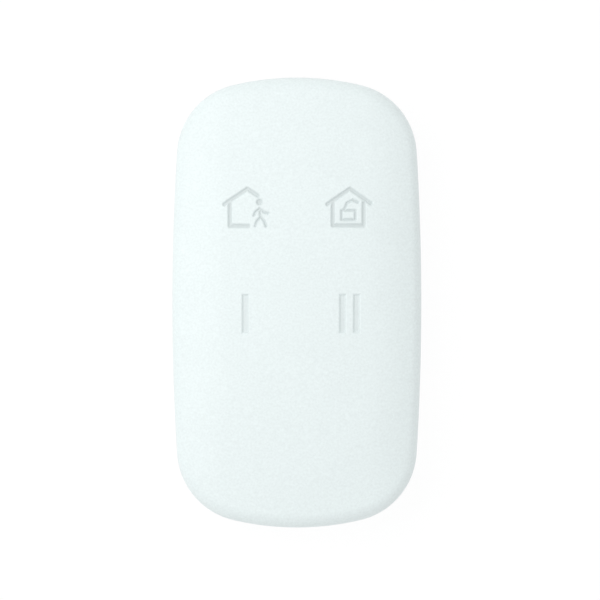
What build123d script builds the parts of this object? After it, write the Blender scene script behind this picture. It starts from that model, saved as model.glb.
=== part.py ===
from build123d import *
import math
import os

# Alarm key fob with a seamless soft front, four snap keys behind it and a sliding battery door.
# Millimetres. It lies on its back: the origin is the middle of the rear face, +Z points out of
# the front face, +Y to the strap end and +X to the right seen from the front.

# Outer form
body_length = 65.0
body_width = 36.0
side_radius = 360.0
end_radius = 40.0
corner_radius = 10.5
crown_radius_across = 180.0
crown_radius_along = 400.0
shoulder_start = 10.0
shoulder_radius = 20.0
section_steps = 16
front_edge_radius = 2.2
rear_edge_radius = 3.2
split_height = 5.4
parting_gap = 0.15

# Walls
skin_thickness = 0.6
frame_wall = 1.2
floor_thickness = 1.4
least_edge_radius = 0.3
cut_overrun = 1.0

# Lip of the front frame in the rebate of the rear cover
lip_thickness = 0.8
lip_depth = 1.1
lip_gap = 0.05
lip_end_gap = 0.15
lip_inner_gap = 0.2

# Sunken marks
mark_pitch = 15.0
mark_height = 6.0
mark_stroke = 0.6
mark_depth = 0.25
bar_length = 5.6
bar_width = 0.95
bar_pitch = 2.0

# Keys under the skin
key_side_margin = 5.0
key_bridge_across = 3.0
key_bridge_along = 2.8
window_length = 12.4
window_corner = 3.0
key_gap = 0.25
key_travel = 0.25
cap_gap = 0.1
cap_thickness = 1.2
cap_skirt = 1.0
cap_rib = 0.8
flange_reach = 0.4
flange_gap = 0.15
flange_thickness = 0.8
key_boss_gap = 0.6
nib_radius = 1.2
key_room = 2.2

# Snap switches
switch_size = 5.2
switch_height = 1.5
switch_base_height = 0.9
switch_base_floor = 0.2
switch_bore_radius = 1.9
cover_sheet = 0.15
cover_tab_width = 3.0
cover_tab_depth = 0.6
stem_radius = 1.0
stem_clearance = 0.15
stem_flange_radius = 1.4
stem_flange_gap = 0.05
dome_radius = 1.7
dome_sheet = 0.08
dome_gap = 0.02
terminal_width = 0.7
terminal_length = 1.0
terminal_sheet = 0.15

# Circuit board and its parts
board_thickness = 1.0
board_inset = 2.4
board_spigot_gap = 0.2
chip_size = 5.0
chip_height = 0.9
part_gap = 0.9
crystal_length = 3.2
crystal_width = 2.5
crystal_height = 0.7
bulk_length = 3.5
bulk_width = 2.8
bulk_height = 1.9
chip_part_length = 1.0
chip_part_width = 0.5
chip_part_height = 0.5
chip_part_pitch = 1.0
capacitor_count = 6
resistor_count = 5
led_length = 1.6
led_width = 0.8
led_height = 0.7
led_screw_offset = 1.0

# Light pipe between the lamp and the underside of the skin
pipe_radius = 1.1
pipe_clearance = 0.05
pipe_collar_radius = 1.7
pipe_collar_height = 0.8
pipe_lamp_gap = 0.2
pipe_skin_gap = 0.05

# Helical antenna
antenna_wire = 0.5
antenna_coil_radius = 1.25
antenna_pitch = 1.15
antenna_half_turns = 13
antenna_post_gap = 0.15
antenna_board_gap = 0.2
antenna_hole_clearance = 0.2

# Coin cell
cell_diameter = 20.0
cell_thickness = 3.2
cell_gap = 0.3
cell_sheet = 0.25
cell_rim = 0.9
cell_cap_step = 0.3
cell_seal_wall = 0.3
separator_thickness = 0.15
anode_share = 0.35
fence_wall = 0.8
fence_post_gap = 0.5

# Battery contacts
contact_sheet = 0.2
contact_width = 3.0
contact_gap = 0.04
contact_room = 1.25
contact_foot = 2.4
contact_notch_gap = 0.3

# Sliding battery door
door_thickness = 1.6
door_gap = 0.15
door_side_gap = 0.12
door_cell_margin = 0.7
door_top_margin = 3.6
door_corner = 1.5
tongue_reach = 1.4
tongue_thickness = 0.5
tongue_low = 0.7
tongue_length = 21.0
tongue_end_inset = 5.0
tongue_gap = 0.1
tray_plate = 0.8
tray_wall = 1.3
pad_side = 11.8
pad_thickness = 0.45
pad_recess = 0.4
pad_clearance = 0.1
detent_height = 0.1
detent_width = 0.8
detent_length = 8.0
detent_inset = 1.6
grip_count = 5
grip_pitch = 1.5
grip_width = 0.7
grip_length = 9.0
grip_depth = 0.3
grip_edge_gap = 1.0
arrow_width = 4.0
arrow_length = 2.2
arrow_gap = 1.6

# Screws, posts and bosses
screw_radius = 0.95
screw_length = 6.0
screw_tip_chamfer = 0.4
screw_clearance = 0.2
screw_bite_gap = 0.05
head_radius = 1.9
head_height = 1.2
head_clearance = 0.3
head_recess_depth = 0.6
head_recess_width = 0.5
head_recess_length = 2.4
head_seat = 3.15
web_thickness = 1.75
spigot_radius = 2.1
spigot_gap = 0.1
post_wall = 0.8
boss_radius = 2.7
pilot_relief = 0.4
upper_screw_end_inset = 9.0
upper_screw_side_inset = 8.0
lower_screw_inset = 8.0
rib_thickness = 1.0
rib_margin = 1.4

# Strap notch at the top of the rear face
strap_bar_radius = 0.7
strap_bar_clearance = 0.02
strap_bar_inset = 2.1
strap_bar_height = 0.9
strap_bar_seat = 1.9
strap_cord_gap = 2.0
strap_notch_width = 7.5
strap_wall = 1.0
strap_cheek = 2.6

# Heights, from the rear face up
cell_low = door_thickness + door_gap
cell_top = cell_low + cell_thickness
board_low = cell_top + contact_room
board_top = board_low + board_thickness
stem_top = board_top + switch_height
cap_inset = skin_thickness + cap_gap
cap_under_inset = cap_inset + cap_thickness
body_height = stem_top + key_room + cap_under_inset
skin_low = split_height + parting_gap
lip_low = split_height - lip_depth
spigot_low = head_seat + web_thickness + spigot_gap
screw_tip = head_seat + screw_length
tray_top = cell_low + tray_plate

# Insets from the outline
half_length = body_length / 2
half_width = body_width / 2
side_wall = skin_thickness + frame_wall
lip_inset = side_wall - lip_thickness
flange_inset = side_wall + flange_gap
flange_under_inset = flange_inset + flange_thickness

# Screw, key and cell places
post_radius = spigot_radius + spigot_gap + post_wall
upper_screw_y = half_length - upper_screw_end_inset
upper_screw_x = half_width - upper_screw_side_inset
lower_screw_y = lower_screw_inset - half_length
screw_places = [(-upper_screw_x, upper_screw_y), (upper_screw_x, upper_screw_y), (0, lower_screw_y)]
window_width = half_width - key_side_margin - key_bridge_across / 2
key_x = (window_width + key_bridge_across) / 2
cap_width = window_width - 2 * key_gap
cap_length = window_length - 2 * key_gap
flange_length = window_length + 2 * flange_reach
flange_width = window_width + 2 * flange_reach
upper_key_y = upper_screw_y - boss_radius - key_boss_gap - flange_length / 2
lower_key_y = upper_key_y - window_length - key_bridge_along
key_places = {
    "away": (-key_x, upper_key_y),
    "disarm": (key_x, upper_key_y),
    "first": (-key_x, lower_key_y),
    "second": (key_x, lower_key_y),
}
cell_radius = cell_diameter / 2
pocket_radius = cell_radius + cell_gap
fence_radius = pocket_radius + fence_wall
cell_y = lower_screw_y + post_radius + fence_post_gap + fence_radius
strap_y = half_length - strap_bar_inset
strap_notch_radius = strap_bar_radius + strap_cord_gap
strap_housing_radius = strap_notch_radius + strap_wall
strap_housing_width = strap_notch_width + 2 * strap_cheek
antenna_radius = antenna_coil_radius + antenna_wire / 2
antenna_y = upper_screw_y - post_radius - antenna_post_gap - antenna_radius
antenna_z = board_low - antenna_board_gap - antenna_radius


# Outline with bulging sides and ends, drawn in by an inset

def outline(inset):
    """Eight arcs: two sides, two ends and four corners, tangent where they meet."""
    side = side_radius - inset
    end = end_radius - inset
    corner = corner_radius - inset
    side_centre = Vector(half_width - inset - side, 0)
    end_centre = Vector(0, half_length - inset - end)
    reach_side = side - corner
    reach_end = end - corner
    between = end_centre - side_centre
    span = between.length
    along = (reach_side**2 - reach_end**2 + span**2) / (2 * span)
    across = math.sqrt(reach_side**2 - along**2)
    step = between / span
    corner_centre = side_centre + step * along + Vector(-step.Y, step.X) * across
    side_way = (corner_centre - side_centre).normalized()
    end_way = (corner_centre - end_centre).normalized()
    side_tangent = side_centre + side_way * side
    end_tangent = end_centre + end_way * end
    middle = corner_centre + (side_way + end_way).normalized() * corner
    side_point = (half_width - inset, 0)
    end_point = (0, half_length - inset)

    def placed(point, flip_x, flip_y):
        return (point[0] * flip_x, point[1] * flip_y)

    side_tangent = tuple(side_tangent)
    end_tangent = tuple(end_tangent)
    middle = tuple(middle)
    with BuildSketch() as shape:
        with BuildLine():
            for flip in (1, -1):
                ThreePointArc(
                    placed(side_tangent, flip, -1), placed(side_point, flip, 1), placed(side_tangent, flip, 1)
                )
                ThreePointArc(
                    placed(end_tangent, -1, flip), placed(end_point, 1, flip), placed(end_tangent, 1, flip)
                )
                for other in (1, -1):
                    ThreePointArc(
                        placed(side_tangent, flip, other),
                        placed(middle, flip, other),
                        placed(end_tangent, flip, other),
                    )
        make_face()
    return shape.sketch


def crown_fall(x, inset):
    """How far the front's cross-section falls from its middle to a place across.

    A flat arc lies in the middle and a rounder one at each side, tangent where they meet.
    """
    middle = crown_radius_across - inset
    join = shoulder_start / crown_radius_across
    run = abs(x)
    if run <= middle * join:
        return middle - math.sqrt(middle**2 - run**2)
    between = crown_radius_across - shoulder_radius
    run -= between * join
    centre = between * math.sqrt(1 - join**2)
    return middle - centre - math.sqrt((shoulder_radius - inset) ** 2 - run**2)


def crown_height(x, y, inset):
    """Height over a point of the domed front, sunk by an inset."""
    reach = crown_radius_along - inset - crown_fall(x, inset)
    return body_height - crown_radius_along + math.sqrt(reach**2 - y**2)


def crown_section(y, inset):
    """Cross-section under the domed front at a place along the body."""
    edge = half_width + cut_overrun
    low = crown_height(edge, y, inset)
    places = [edge * (2 * step / section_steps - 1) for step in range(section_steps + 1)]
    with BuildSketch(Plane(origin=(0, y, 0), x_dir=(1, 0, 0), z_dir=(0, -1, 0))) as section:
        with BuildLine():
            Spline(*[(x, crown_height(x, y, inset)) for x in places])
            Polyline((edge, low), (edge, 0), (-edge, 0), (-edge, low))
        make_face()
    return section.sketch


def crown(inset):
    """Block under the domed front: one smooth sheet through three arched sections."""
    span = half_length + cut_overrun
    sections = [crown_section(y, inset) for y in (span, 0, -span)]
    with BuildPart() as block:
        for section in sections:
            add(section)
        loft()
    return block.part


def front_form(inset, low):
    """Solid of the front half from a height up, drawn in by an inset all round."""
    dome = crown(inset)
    sheet = outline(inset)
    with BuildPart() as form:
        with BuildSketch(Plane.XY.offset(low)):
            add(sheet)
        extrude(amount=body_height)
        add(dome, mode=Mode.INTERSECT)
        rim = form.faces().sort_by(Axis.Z)[-1].edges()
        fillet(rim, max(front_edge_radius - inset, least_edge_radius))
    return form.part


def rear_form(inset, low, high):
    """Solid of the rear half between two heights, drawn in by an inset at its sides."""
    sheet = outline(inset)
    with BuildPart() as form:
        with BuildSketch(Plane.XY.offset(low)):
            add(sheet)
        extrude(amount=high - low)
        rim = form.faces().sort_by(Axis.Z)[0].edges()
        fillet(rim, max(rear_edge_radius - inset, least_edge_radius))
    return form.part


def finish(piece, name):
    """Names a finished piece and writes it."""
    piece.part.label = name
    export_step(piece.part, f"parts/{name}.step")


os.makedirs("parts", exist_ok=True)

# Sunken marks: a house with a walking figure, a house with an open padlock, one bar, two bars

roof_shares = [(-0.53, 0.09), (0.01, 0.46), (0.51, 0.11)]
wall_shares = [(-0.4, 0.12), (-0.4, -0.42), (0.34, -0.42), (0.34, 0.12)]
open_roof_shares = [(-0.5, 0.09), (0.05, 0.46), (0.3, 0.29)]
open_wall_shares = [(-0.37, 0.12), (-0.37, -0.43), (0.07, -0.43)]
lock_body_shares = [(-0.19, -0.28), (-0.19, -0.06), (0.14, -0.06), (0.14, -0.28), (-0.19, -0.28)]
lock_shackle_shares = [(-0.13, -0.06), (-0.06, 0.12), (0.08, 0.19), (0.2, 0.13)]
figure_shares = [
    [(0.34, -0.02), (0.37, -0.22)],
    [(0.37, -0.22), (0.28, -0.32), (0.24, -0.43)],
    [(0.37, -0.22), (0.45, -0.31), (0.5, -0.44)],
    [(0.33, -0.03), (0.24, -0.1), (0.21, -0.18)],
    [(0.35, -0.03), (0.44, -0.1), (0.54, -0.13)],
]
head_shares = (0.34, 0.14)
head_radius_share = 0.08
fine_stroke_share = 0.7
fine_stroke = mark_stroke * fine_stroke_share


def stroke(shares, width, place):
    """Line of even width with round ends through points given as shares of the mark's height."""
    points = [(place[0] + x * mark_height, place[1] + y * mark_height) for x, y in shares]
    with BuildSketch() as shape:
        for start, end in zip(points, points[1:]):
            SlotArc(Edge.make_line(start, end), width)
    return shape.sketch


away_place = (-mark_pitch / 2, upper_key_y)
disarm_place = (mark_pitch / 2, upper_key_y)
strokes = [stroke(shares, mark_stroke, away_place) for shares in (open_roof_shares, open_wall_shares)]
strokes += [stroke(limb, fine_stroke, away_place) for limb in figure_shares]
strokes += [stroke(shares, mark_stroke, disarm_place) for shares in (roof_shares, wall_shares)]
strokes += [stroke(shares, fine_stroke, disarm_place) for shares in (lock_body_shares, lock_shackle_shares)]
head_place = tuple(place + share * mark_height for place, share in zip(away_place, head_shares))
bar_columns = (-mark_pitch / 2, (mark_pitch - bar_pitch) / 2, (mark_pitch + bar_pitch) / 2)
bar_places = [(x, lower_key_y) for x in bar_columns]
lowered_crown = crown(mark_depth)

with BuildPart() as mark_cutter:
    with BuildSketch(Plane.XY.offset(stem_top)):
        for mark in strokes:
            add(mark)
        with Locations(head_place):
            Circle(head_radius_share * mark_height)
        with Locations(*bar_places):
            Rectangle(bar_width, bar_length)
    extrude(amount=body_height)
    add(lowered_crown, mode=Mode.SUBTRACT)

# Front skin: one seamless soft shell over the front

skin_outside = front_form(0, skin_low)
skin_inside = front_form(skin_thickness, skin_low)

with BuildPart() as front_skin:
    add(skin_outside)
    add(skin_inside, mode=Mode.SUBTRACT)
    add(mark_cutter.part, mode=Mode.SUBTRACT)
finish(front_skin, "front_skin")

# Front frame: stiff shell with four windows, a lip and three screw bosses

frame_outside = front_form(skin_thickness, split_height)
frame_inside = front_form(side_wall, lip_low - cut_overrun)
lip_sheet = outline(lip_inset)
led_y = upper_screw_y + led_screw_offset

with BuildPart() as frame_cavity:
    add(frame_inside)
    with BuildSketch(Plane.XY.offset(board_top)):
        with Locations(*screw_places):
            Circle(boss_radius)
    extrude(amount=body_height, mode=Mode.SUBTRACT)
    with BuildSketch(Plane.XY.offset(spigot_low)):
        with Locations(*screw_places):
            Circle(spigot_radius)
    extrude(amount=body_height, mode=Mode.SUBTRACT)

with BuildPart() as front_frame:
    add(frame_outside)
    with BuildSketch(Plane.XY.offset(lip_low)):
        add(lip_sheet)
    extrude(amount=lip_depth + cut_overrun)
    add(frame_cavity.part, mode=Mode.SUBTRACT)
    with BuildSketch(Plane.XY.offset(stem_top)):
        with Locations(*key_places.values()):
            RectangleRounded(window_width, window_length, window_corner)
    extrude(amount=body_height, mode=Mode.SUBTRACT)
    with BuildSketch(Plane.XY.offset(spigot_low)):
        with Locations(*screw_places):
            Circle(screw_radius + screw_bite_gap)
    extrude(amount=screw_tip + pilot_relief - spigot_low, mode=Mode.SUBTRACT)
    with BuildSketch(Plane.XY.offset(board_top)):
        with Locations((0, led_y)):
            Circle(pipe_radius + pipe_clearance)
    extrude(amount=body_height, mode=Mode.SUBTRACT)
finish(front_frame, "front_frame")

# Keycaps: each follows the crown under the skin and is kept by a flange behind the frame

cap_form = front_form(cap_inset, lip_low)
cap_under_form = front_form(cap_under_inset, lip_low)
flange_form = front_form(flange_inset, lip_low)
flange_under_form = front_form(flange_under_inset, lip_low)
nib_form = front_form(cap_inset + cap_thickness / 2, lip_low)
pocket_width = cap_width - 2 * cap_skirt
pocket_length = cap_length - 2 * cap_skirt
cap_corner = window_corner - key_gap
pocket_corner = max(cap_corner - cap_skirt, least_edge_radius)
flange_corner = window_corner + flange_reach

for key, (x, y) in key_places.items():
    key_plane = Plane(origin=(x, y, stem_top))
    with BuildPart() as key_flange:
        with BuildSketch(key_plane):
            RectangleRounded(flange_width, flange_length, flange_corner)
        extrude(amount=body_height)
        add(flange_form, mode=Mode.INTERSECT)
    with BuildPart() as key_pocket:
        with BuildSketch(key_plane):
            RectangleRounded(pocket_width, pocket_length, pocket_corner)
            Rectangle(cap_rib, pocket_length, mode=Mode.SUBTRACT)
            Rectangle(pocket_width, cap_rib, mode=Mode.SUBTRACT)
            Circle(nib_radius, mode=Mode.SUBTRACT)
        extrude(amount=body_height)
        add(cap_under_form, mode=Mode.INTERSECT)
    with BuildPart() as key_nib:
        with BuildSketch(key_plane):
            Circle(nib_radius)
        extrude(amount=body_height)
        add(nib_form, mode=Mode.INTERSECT)
    with BuildPart() as key_cap:
        with BuildSketch(key_plane):
            RectangleRounded(cap_width, cap_length, cap_corner)
        extrude(amount=body_height)
        add(cap_form, mode=Mode.INTERSECT)
        add(key_flange.part)
        add(flange_under_form, mode=Mode.SUBTRACT)
        add(key_pocket.part, mode=Mode.SUBTRACT)
        add(key_nib.part)
    finish(key_cap, f"{key}_key")

# Snap switches: bodies, metal covers, terminals, domes and stems

base_top = board_top + switch_base_height
dome_low = board_top + switch_base_floor
flange_top = base_top - stem_flange_gap
stem_low = dome_low + key_travel + dome_sheet
dome_rise = stem_low - dome_low - dome_gap
dome_curve = (dome_radius**2 + dome_rise**2) / (2 * dome_rise)
dome_inner_curve = dome_curve - dome_sheet
dome_centre = dome_low + dome_rise - dome_curve
dome_inner_radius = math.sqrt(dome_inner_curve**2 - (dome_curve - dome_rise) ** 2)
switch_places = list(key_places.values())

with BuildPart() as switch_bases:
    with BuildSketch(Plane.XY.offset(board_top)):
        with Locations(*switch_places):
            Rectangle(switch_size, switch_size)
    extrude(amount=switch_base_height)
    with BuildSketch(Plane.XY.offset(dome_low)):
        with Locations(*switch_places):
            Circle(switch_bore_radius)
    extrude(amount=switch_base_height, mode=Mode.SUBTRACT)
finish(switch_bases, "switch_bases")

with BuildPart() as switch_covers:
    with BuildSketch(Plane.XY.offset(base_top)):
        with Locations(*switch_places):
            Rectangle(switch_size + 2 * cover_sheet, switch_size)
            Circle(stem_radius + stem_clearance, mode=Mode.SUBTRACT)
    extrude(amount=cover_sheet)
    with BuildSketch(Plane.XY.offset(base_top - cover_tab_depth)):
        for x, y in switch_places:
            for side in (1, -1):
                with Locations((x + side * (switch_size + cover_sheet) / 2, y)):
                    Rectangle(cover_sheet, cover_tab_width)
    extrude(amount=cover_tab_depth)
finish(switch_covers, "switch_covers")

with BuildPart() as switch_terminals:
    with BuildSketch(Plane.XY.offset(board_top)):
        for x, y in switch_places:
            for side in (1, -1):
                for end in (1, -1):
                    corner = (
                        x + side * (switch_size - terminal_width) / 2,
                        y + end * (switch_size + terminal_length) / 2,
                    )
                    with Locations(corner):
                        Rectangle(terminal_width, terminal_length)
    extrude(amount=terminal_sheet)
finish(switch_terminals, "switch_terminals")


def dome_point(curve, across):
    """Point of a dome's profile at a distance from its axis, on an arc of the given radius."""
    return (across, dome_centre + math.sqrt(curve**2 - across**2))


for key, (x, y) in key_places.items():
    with BuildPart() as dome:
        with BuildSketch(Plane(origin=(x, y, 0), x_dir=(1, 0, 0), z_dir=(0, -1, 0))):
            with BuildLine():
                ThreePointArc(
                    dome_point(dome_curve, dome_radius),
                    dome_point(dome_curve, dome_radius / 2),
                    dome_point(dome_curve, 0),
                )
                Line(dome_point(dome_curve, 0), dome_point(dome_inner_curve, 0))
                ThreePointArc(
                    dome_point(dome_inner_curve, 0),
                    dome_point(dome_inner_curve, dome_inner_radius / 2),
                    dome_point(dome_inner_curve, dome_inner_radius),
                )
                Line(dome_point(dome_inner_curve, dome_inner_radius), dome_point(dome_curve, dome_radius))
            make_face()
        revolve(axis=Axis((x, y, 0), (0, 0, 1)))
    finish(dome, f"{key}_dome")
    with BuildPart() as stem:
        with BuildSketch(Plane(origin=(x, y, stem_low))):
            Circle(stem_flange_radius)
        extrude(amount=flange_top - stem_low)
        with BuildSketch(Plane(origin=(x, y, stem_low))):
            Circle(stem_radius)
        extrude(amount=stem_top - stem_low)
    finish(stem, f"{key}_stem")

# Circuit board

board_sheet = outline(board_inset)
leg_tilt = antenna_pitch / (2 * math.pi * antenna_coil_radius)
antenna_start = -antenna_pitch * antenna_half_turns / 4
antenna_end = -antenna_start
leg_rise = board_top + antenna_wire - antenna_z
leg_shift = leg_tilt * (board_low + board_thickness / 2 - antenna_z)
leg_places = [
    (antenna_start - leg_shift, antenna_y + antenna_coil_radius),
    (antenna_end + leg_shift, antenna_y - antenna_coil_radius),
]

with BuildPart() as circuit_board:
    with BuildSketch(Plane.XY.offset(board_low)):
        add(board_sheet)
        with Locations(*screw_places):
            Circle(spigot_radius + board_spigot_gap, mode=Mode.SUBTRACT)
        with Locations(*leg_places):
            Circle(antenna_wire / 2 + antenna_hole_clearance, mode=Mode.SUBTRACT)
    extrude(amount=board_thickness)
finish(circuit_board, "circuit_board")

# Parts on the board's front: the radio chip and its small parts between the two rows of switches,
# and the bulk capacitor between the lower row and the lowest boss

chip_y = (upper_key_y + lower_key_y) / 2
crystal_x = chip_size / 2 + part_gap + crystal_length / 2
capacitor_x = -chip_size / 2 - part_gap - chip_part_length / 2
resistor_x = crystal_x + crystal_length / 2 + part_gap + chip_part_length / 2
lower_row_end = lower_key_y - switch_size / 2 - terminal_length
bulk_y = (lower_row_end + lower_screw_y + boss_radius) / 2

with BuildPart() as radio_chip:
    with BuildSketch(Plane(origin=(0, chip_y, board_top))):
        Rectangle(chip_size, chip_size)
    extrude(amount=chip_height)
    chamfer(radio_chip.edges().filter_by(Axis.Z).sort_by(Axis.X)[0], chip_height / 2)
finish(radio_chip, "radio_chip")

with BuildPart() as crystal:
    with BuildSketch(Plane(origin=(crystal_x, chip_y, board_top))):
        RectangleRounded(crystal_length, crystal_width, crystal_height / 2)
    extrude(amount=crystal_height)
finish(crystal, "crystal")

with BuildPart() as bulk_capacitor:
    with BuildSketch(Plane(origin=(0, bulk_y, board_top))):
        Rectangle(bulk_length, bulk_width)
    extrude(amount=bulk_height)
    chamfer(bulk_capacitor.edges().filter_by(Axis.Y).group_by(Axis.Z)[-1], bulk_height / 6)
finish(bulk_capacitor, "bulk_capacitor")

with BuildPart() as chip_capacitors:
    with BuildSketch(Plane(origin=(capacitor_x, chip_y, board_top))):
        with GridLocations(0, chip_part_pitch, 1, capacitor_count):
            Rectangle(chip_part_length, chip_part_width)
    extrude(amount=chip_part_height)
finish(chip_capacitors, "chip_capacitors")

with BuildPart() as chip_resistors:
    with BuildSketch(Plane(origin=(resistor_x, chip_y, board_top))):
        with GridLocations(0, chip_part_pitch, 1, resistor_count):
            Rectangle(chip_part_length, chip_part_width)
    extrude(amount=chip_part_height)
finish(chip_resistors, "chip_resistors")

with BuildPart() as status_led:
    with BuildSketch(Plane(origin=(0, led_y, board_top))):
        Rectangle(led_length, led_width)
    extrude(amount=led_height)
finish(status_led, "status_led")

# Light pipe: a stub with a collar under the frame

pipe_form = front_form(skin_thickness + pipe_skin_gap, lip_low)
collar_form = front_form(side_wall + pipe_skin_gap, lip_low)
pipe_low = board_top + led_height + pipe_lamp_gap
collar_low = crown_height(0, led_y, side_wall) - pipe_collar_height

with BuildPart() as pipe_collar:
    with BuildSketch(Plane(origin=(0, led_y, collar_low))):
        Circle(pipe_collar_radius)
    extrude(amount=body_height)
    add(collar_form, mode=Mode.INTERSECT)

with BuildPart() as light_pipe:
    with BuildSketch(Plane(origin=(0, led_y, pipe_low))):
        Circle(pipe_radius)
    extrude(amount=body_height)
    add(pipe_form, mode=Mode.INTERSECT)
    add(pipe_collar.part)
finish(light_pipe, "light_pipe")

# Antenna: half turns of two tangent arcs each, with a straight leg up to the board at each end


def coil_point(half_turn):
    """Point of the helix after a number of half turns."""
    angle = math.pi * half_turn
    along = antenna_start + antenna_pitch * half_turn / 2
    return Vector(
        along,
        antenna_y + antenna_coil_radius * math.cos(angle),
        antenna_z - antenna_coil_radius * math.sin(angle),
    )


def coil_way(half_turn):
    """Direction of the helix after a number of half turns."""
    angle = math.pi * half_turn
    return Vector(leg_tilt, -math.sin(angle), -math.cos(angle)).normalized()


def arc_middle(start, way, end):
    """Middle point of the arc that leaves a point in a direction and reaches another."""
    chord = end - start
    half = chord.length / 2
    turn = math.acos(way.dot(chord.normalized()))
    outward = (way - chord.normalized() * way.dot(chord.normalized())).normalized()
    return start + chord / 2 + outward * half * math.tan(turn / 2)


with BuildPart() as antenna_coil:
    with BuildLine():
        top_start = coil_point(0) - coil_way(0) * (leg_rise / abs(coil_way(0).Z))
        Line(top_start, coil_point(0))
        for half_turn in range(antenna_half_turns):
            start = coil_point(half_turn)
            end = coil_point(half_turn + 1)
            start_way = coil_way(half_turn)
            end_way = coil_way(half_turn + 1)
            ways = start_way + end_way
            gap = end - start
            a = ways.dot(ways) - 4
            b = -2 * gap.dot(ways)
            c = gap.dot(gap)
            reach = (-b - math.sqrt(b**2 - 4 * a * c)) / (2 * a)
            joint = (start + start_way * reach + end - end_way * reach) / 2
            joint_way = (joint - start - start_way * reach).normalized()
            ThreePointArc(start, arc_middle(start, start_way, joint), joint)
            ThreePointArc(joint, arc_middle(joint, joint_way, end), end)
        last = coil_point(antenna_half_turns)
        last_way = coil_way(antenna_half_turns)
        Line(last, last + last_way * (leg_rise / abs(last_way.Z)))
    with BuildSketch(Plane(origin=top_start, z_dir=coil_way(0))):
        Circle(antenna_wire / 2)
    sweep()
finish(antenna_coil, "antenna_coil")

# Coin cell: can, seal, cap, cathode, separator and anode

can_rim_radius = cell_radius - cell_rim
can_bore_radius = cell_radius - cell_sheet
can_top = cell_top - cell_cap_step
inner_low = cell_low + cell_sheet
inner_top = can_top - cell_sheet
seal_inner = can_rim_radius - cell_seal_wall
stack_height = inner_top - cell_seal_wall - inner_low
anode_height = stack_height * anode_share
cathode_height = stack_height - anode_height - separator_thickness
cell_axis = Axis((0, cell_y, 0), (0, 0, 1))
cell_plane = Plane(origin=(0, cell_y, 0), x_dir=(1, 0, 0), z_dir=(0, -1, 0))

with BuildPart() as coin_cell_can:
    with BuildSketch(cell_plane):
        with BuildLine():
            Polyline(
                (0, cell_low),
                (cell_radius, cell_low),
                (cell_radius, can_top),
                (can_rim_radius, can_top),
                (can_rim_radius, inner_top),
                (can_bore_radius, inner_top),
                (can_bore_radius, inner_low),
                (0, inner_low),
                close=True,
            )
        make_face()
    revolve(axis=cell_axis)
    fillet(coin_cell_can.edges().filter_by(GeomType.CIRCLE).group_by(Axis.Z)[0], cell_sheet)
finish(coin_cell_can, "coin_cell_can")

with BuildPart() as coin_cell_seal:
    with BuildSketch(cell_plane):
        with BuildLine():
            Polyline(
                (seal_inner, inner_top - cell_seal_wall),
                (can_bore_radius, inner_top - cell_seal_wall),
                (can_bore_radius, inner_top),
                (can_rim_radius, inner_top),
                (can_rim_radius, can_top),
                (seal_inner, can_top),
                close=True,
            )
        make_face()
    revolve(axis=cell_axis)
finish(coin_cell_seal, "coin_cell_seal")

with BuildPart() as coin_cell_cap:
    with BuildSketch(cell_plane):
        with BuildLine():
            Polyline(
                (0, cell_top),
                (seal_inner, cell_top),
                (seal_inner, inner_top - cell_seal_wall),
                (seal_inner - cell_sheet, inner_top - cell_seal_wall),
                (seal_inner - cell_sheet, cell_top - cell_sheet),
                (0, cell_top - cell_sheet),
                close=True,
            )
        make_face()
    revolve(axis=cell_axis)
    fillet(coin_cell_cap.edges().filter_by(GeomType.CIRCLE).group_by(Axis.Z)[-1], cell_sheet / 2)
finish(coin_cell_cap, "coin_cell_cap")

with BuildPart() as cell_cathode:
    with BuildSketch(Plane(origin=(0, cell_y, inner_low))):
        Circle(can_bore_radius)
    extrude(amount=cathode_height)
finish(cell_cathode, "cell_cathode")

with BuildPart() as cell_separator:
    with BuildSketch(Plane(origin=(0, cell_y, inner_low + cathode_height))):
        Circle(can_bore_radius)
    extrude(amount=separator_thickness)
finish(cell_separator, "cell_separator")

with BuildPart() as cell_anode:
    with BuildSketch(Plane(origin=(0, cell_y, inner_low + cathode_height + separator_thickness))):
        Circle(seal_inner - cell_sheet)
    extrude(amount=anode_height)
finish(cell_anode, "cell_anode")

# Battery contacts, both fixed under the board

leaf_top = board_low - contact_sheet / 2
leaf_low = cell_top + contact_gap + contact_sheet / 2
leaf_end = cell_y + contact_width / 2
leaf_start = cell_y - cell_radius / 2
leaf_points = [
    (leaf_start - contact_foot, leaf_top),
    (leaf_start, leaf_top),
    (cell_y - contact_sheet, leaf_low),
    (leaf_end, leaf_low + contact_sheet),
]

with BuildPart() as negative_contact:
    with BuildSketch(Plane.YZ):
        with BuildLine():
            FilletPolyline(*leaf_points, radius=contact_sheet * 2)
        trace(line_width=contact_sheet)
    extrude(amount=contact_width / 2, both=True)
finish(negative_contact, "negative_contact")

clip_x = cell_radius + contact_gap + contact_sheet / 2
clip_low = (cell_low + cell_top) / 2
clip_points = [(clip_x, clip_low), (clip_x, leaf_top), (clip_x + contact_foot, leaf_top)]

with BuildPart() as positive_contact:
    with BuildSketch(cell_plane):
        with BuildLine():
            FilletPolyline(*clip_points, radius=contact_sheet * 2)
        trace(line_width=contact_sheet)
    extrude(amount=contact_width / 2, both=True)
finish(positive_contact, "positive_contact")

# Battery door: slides off the lower end on two tongues

door_half = pocket_radius + door_cell_margin
door_top = cell_y + pocket_radius + door_top_margin
door_bottom = -half_length - cut_overrun
door_length = door_top - door_bottom
door_middle = (door_top + door_bottom) / 2
tongue_half = door_half + tongue_reach
tongue_top = door_top - tongue_end_inset
tongue_middle = tongue_top - tongue_length / 2
detent_y = door_top - detent_inset
rear_outside = rear_form(0, 0, board_low)
grip_start = rear_edge_radius + grip_edge_gap - half_length
grip_places = [(0, grip_start + index * grip_pitch) for index in range(grip_count)]
arrow_low = grip_places[-1][1] + arrow_gap

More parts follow.
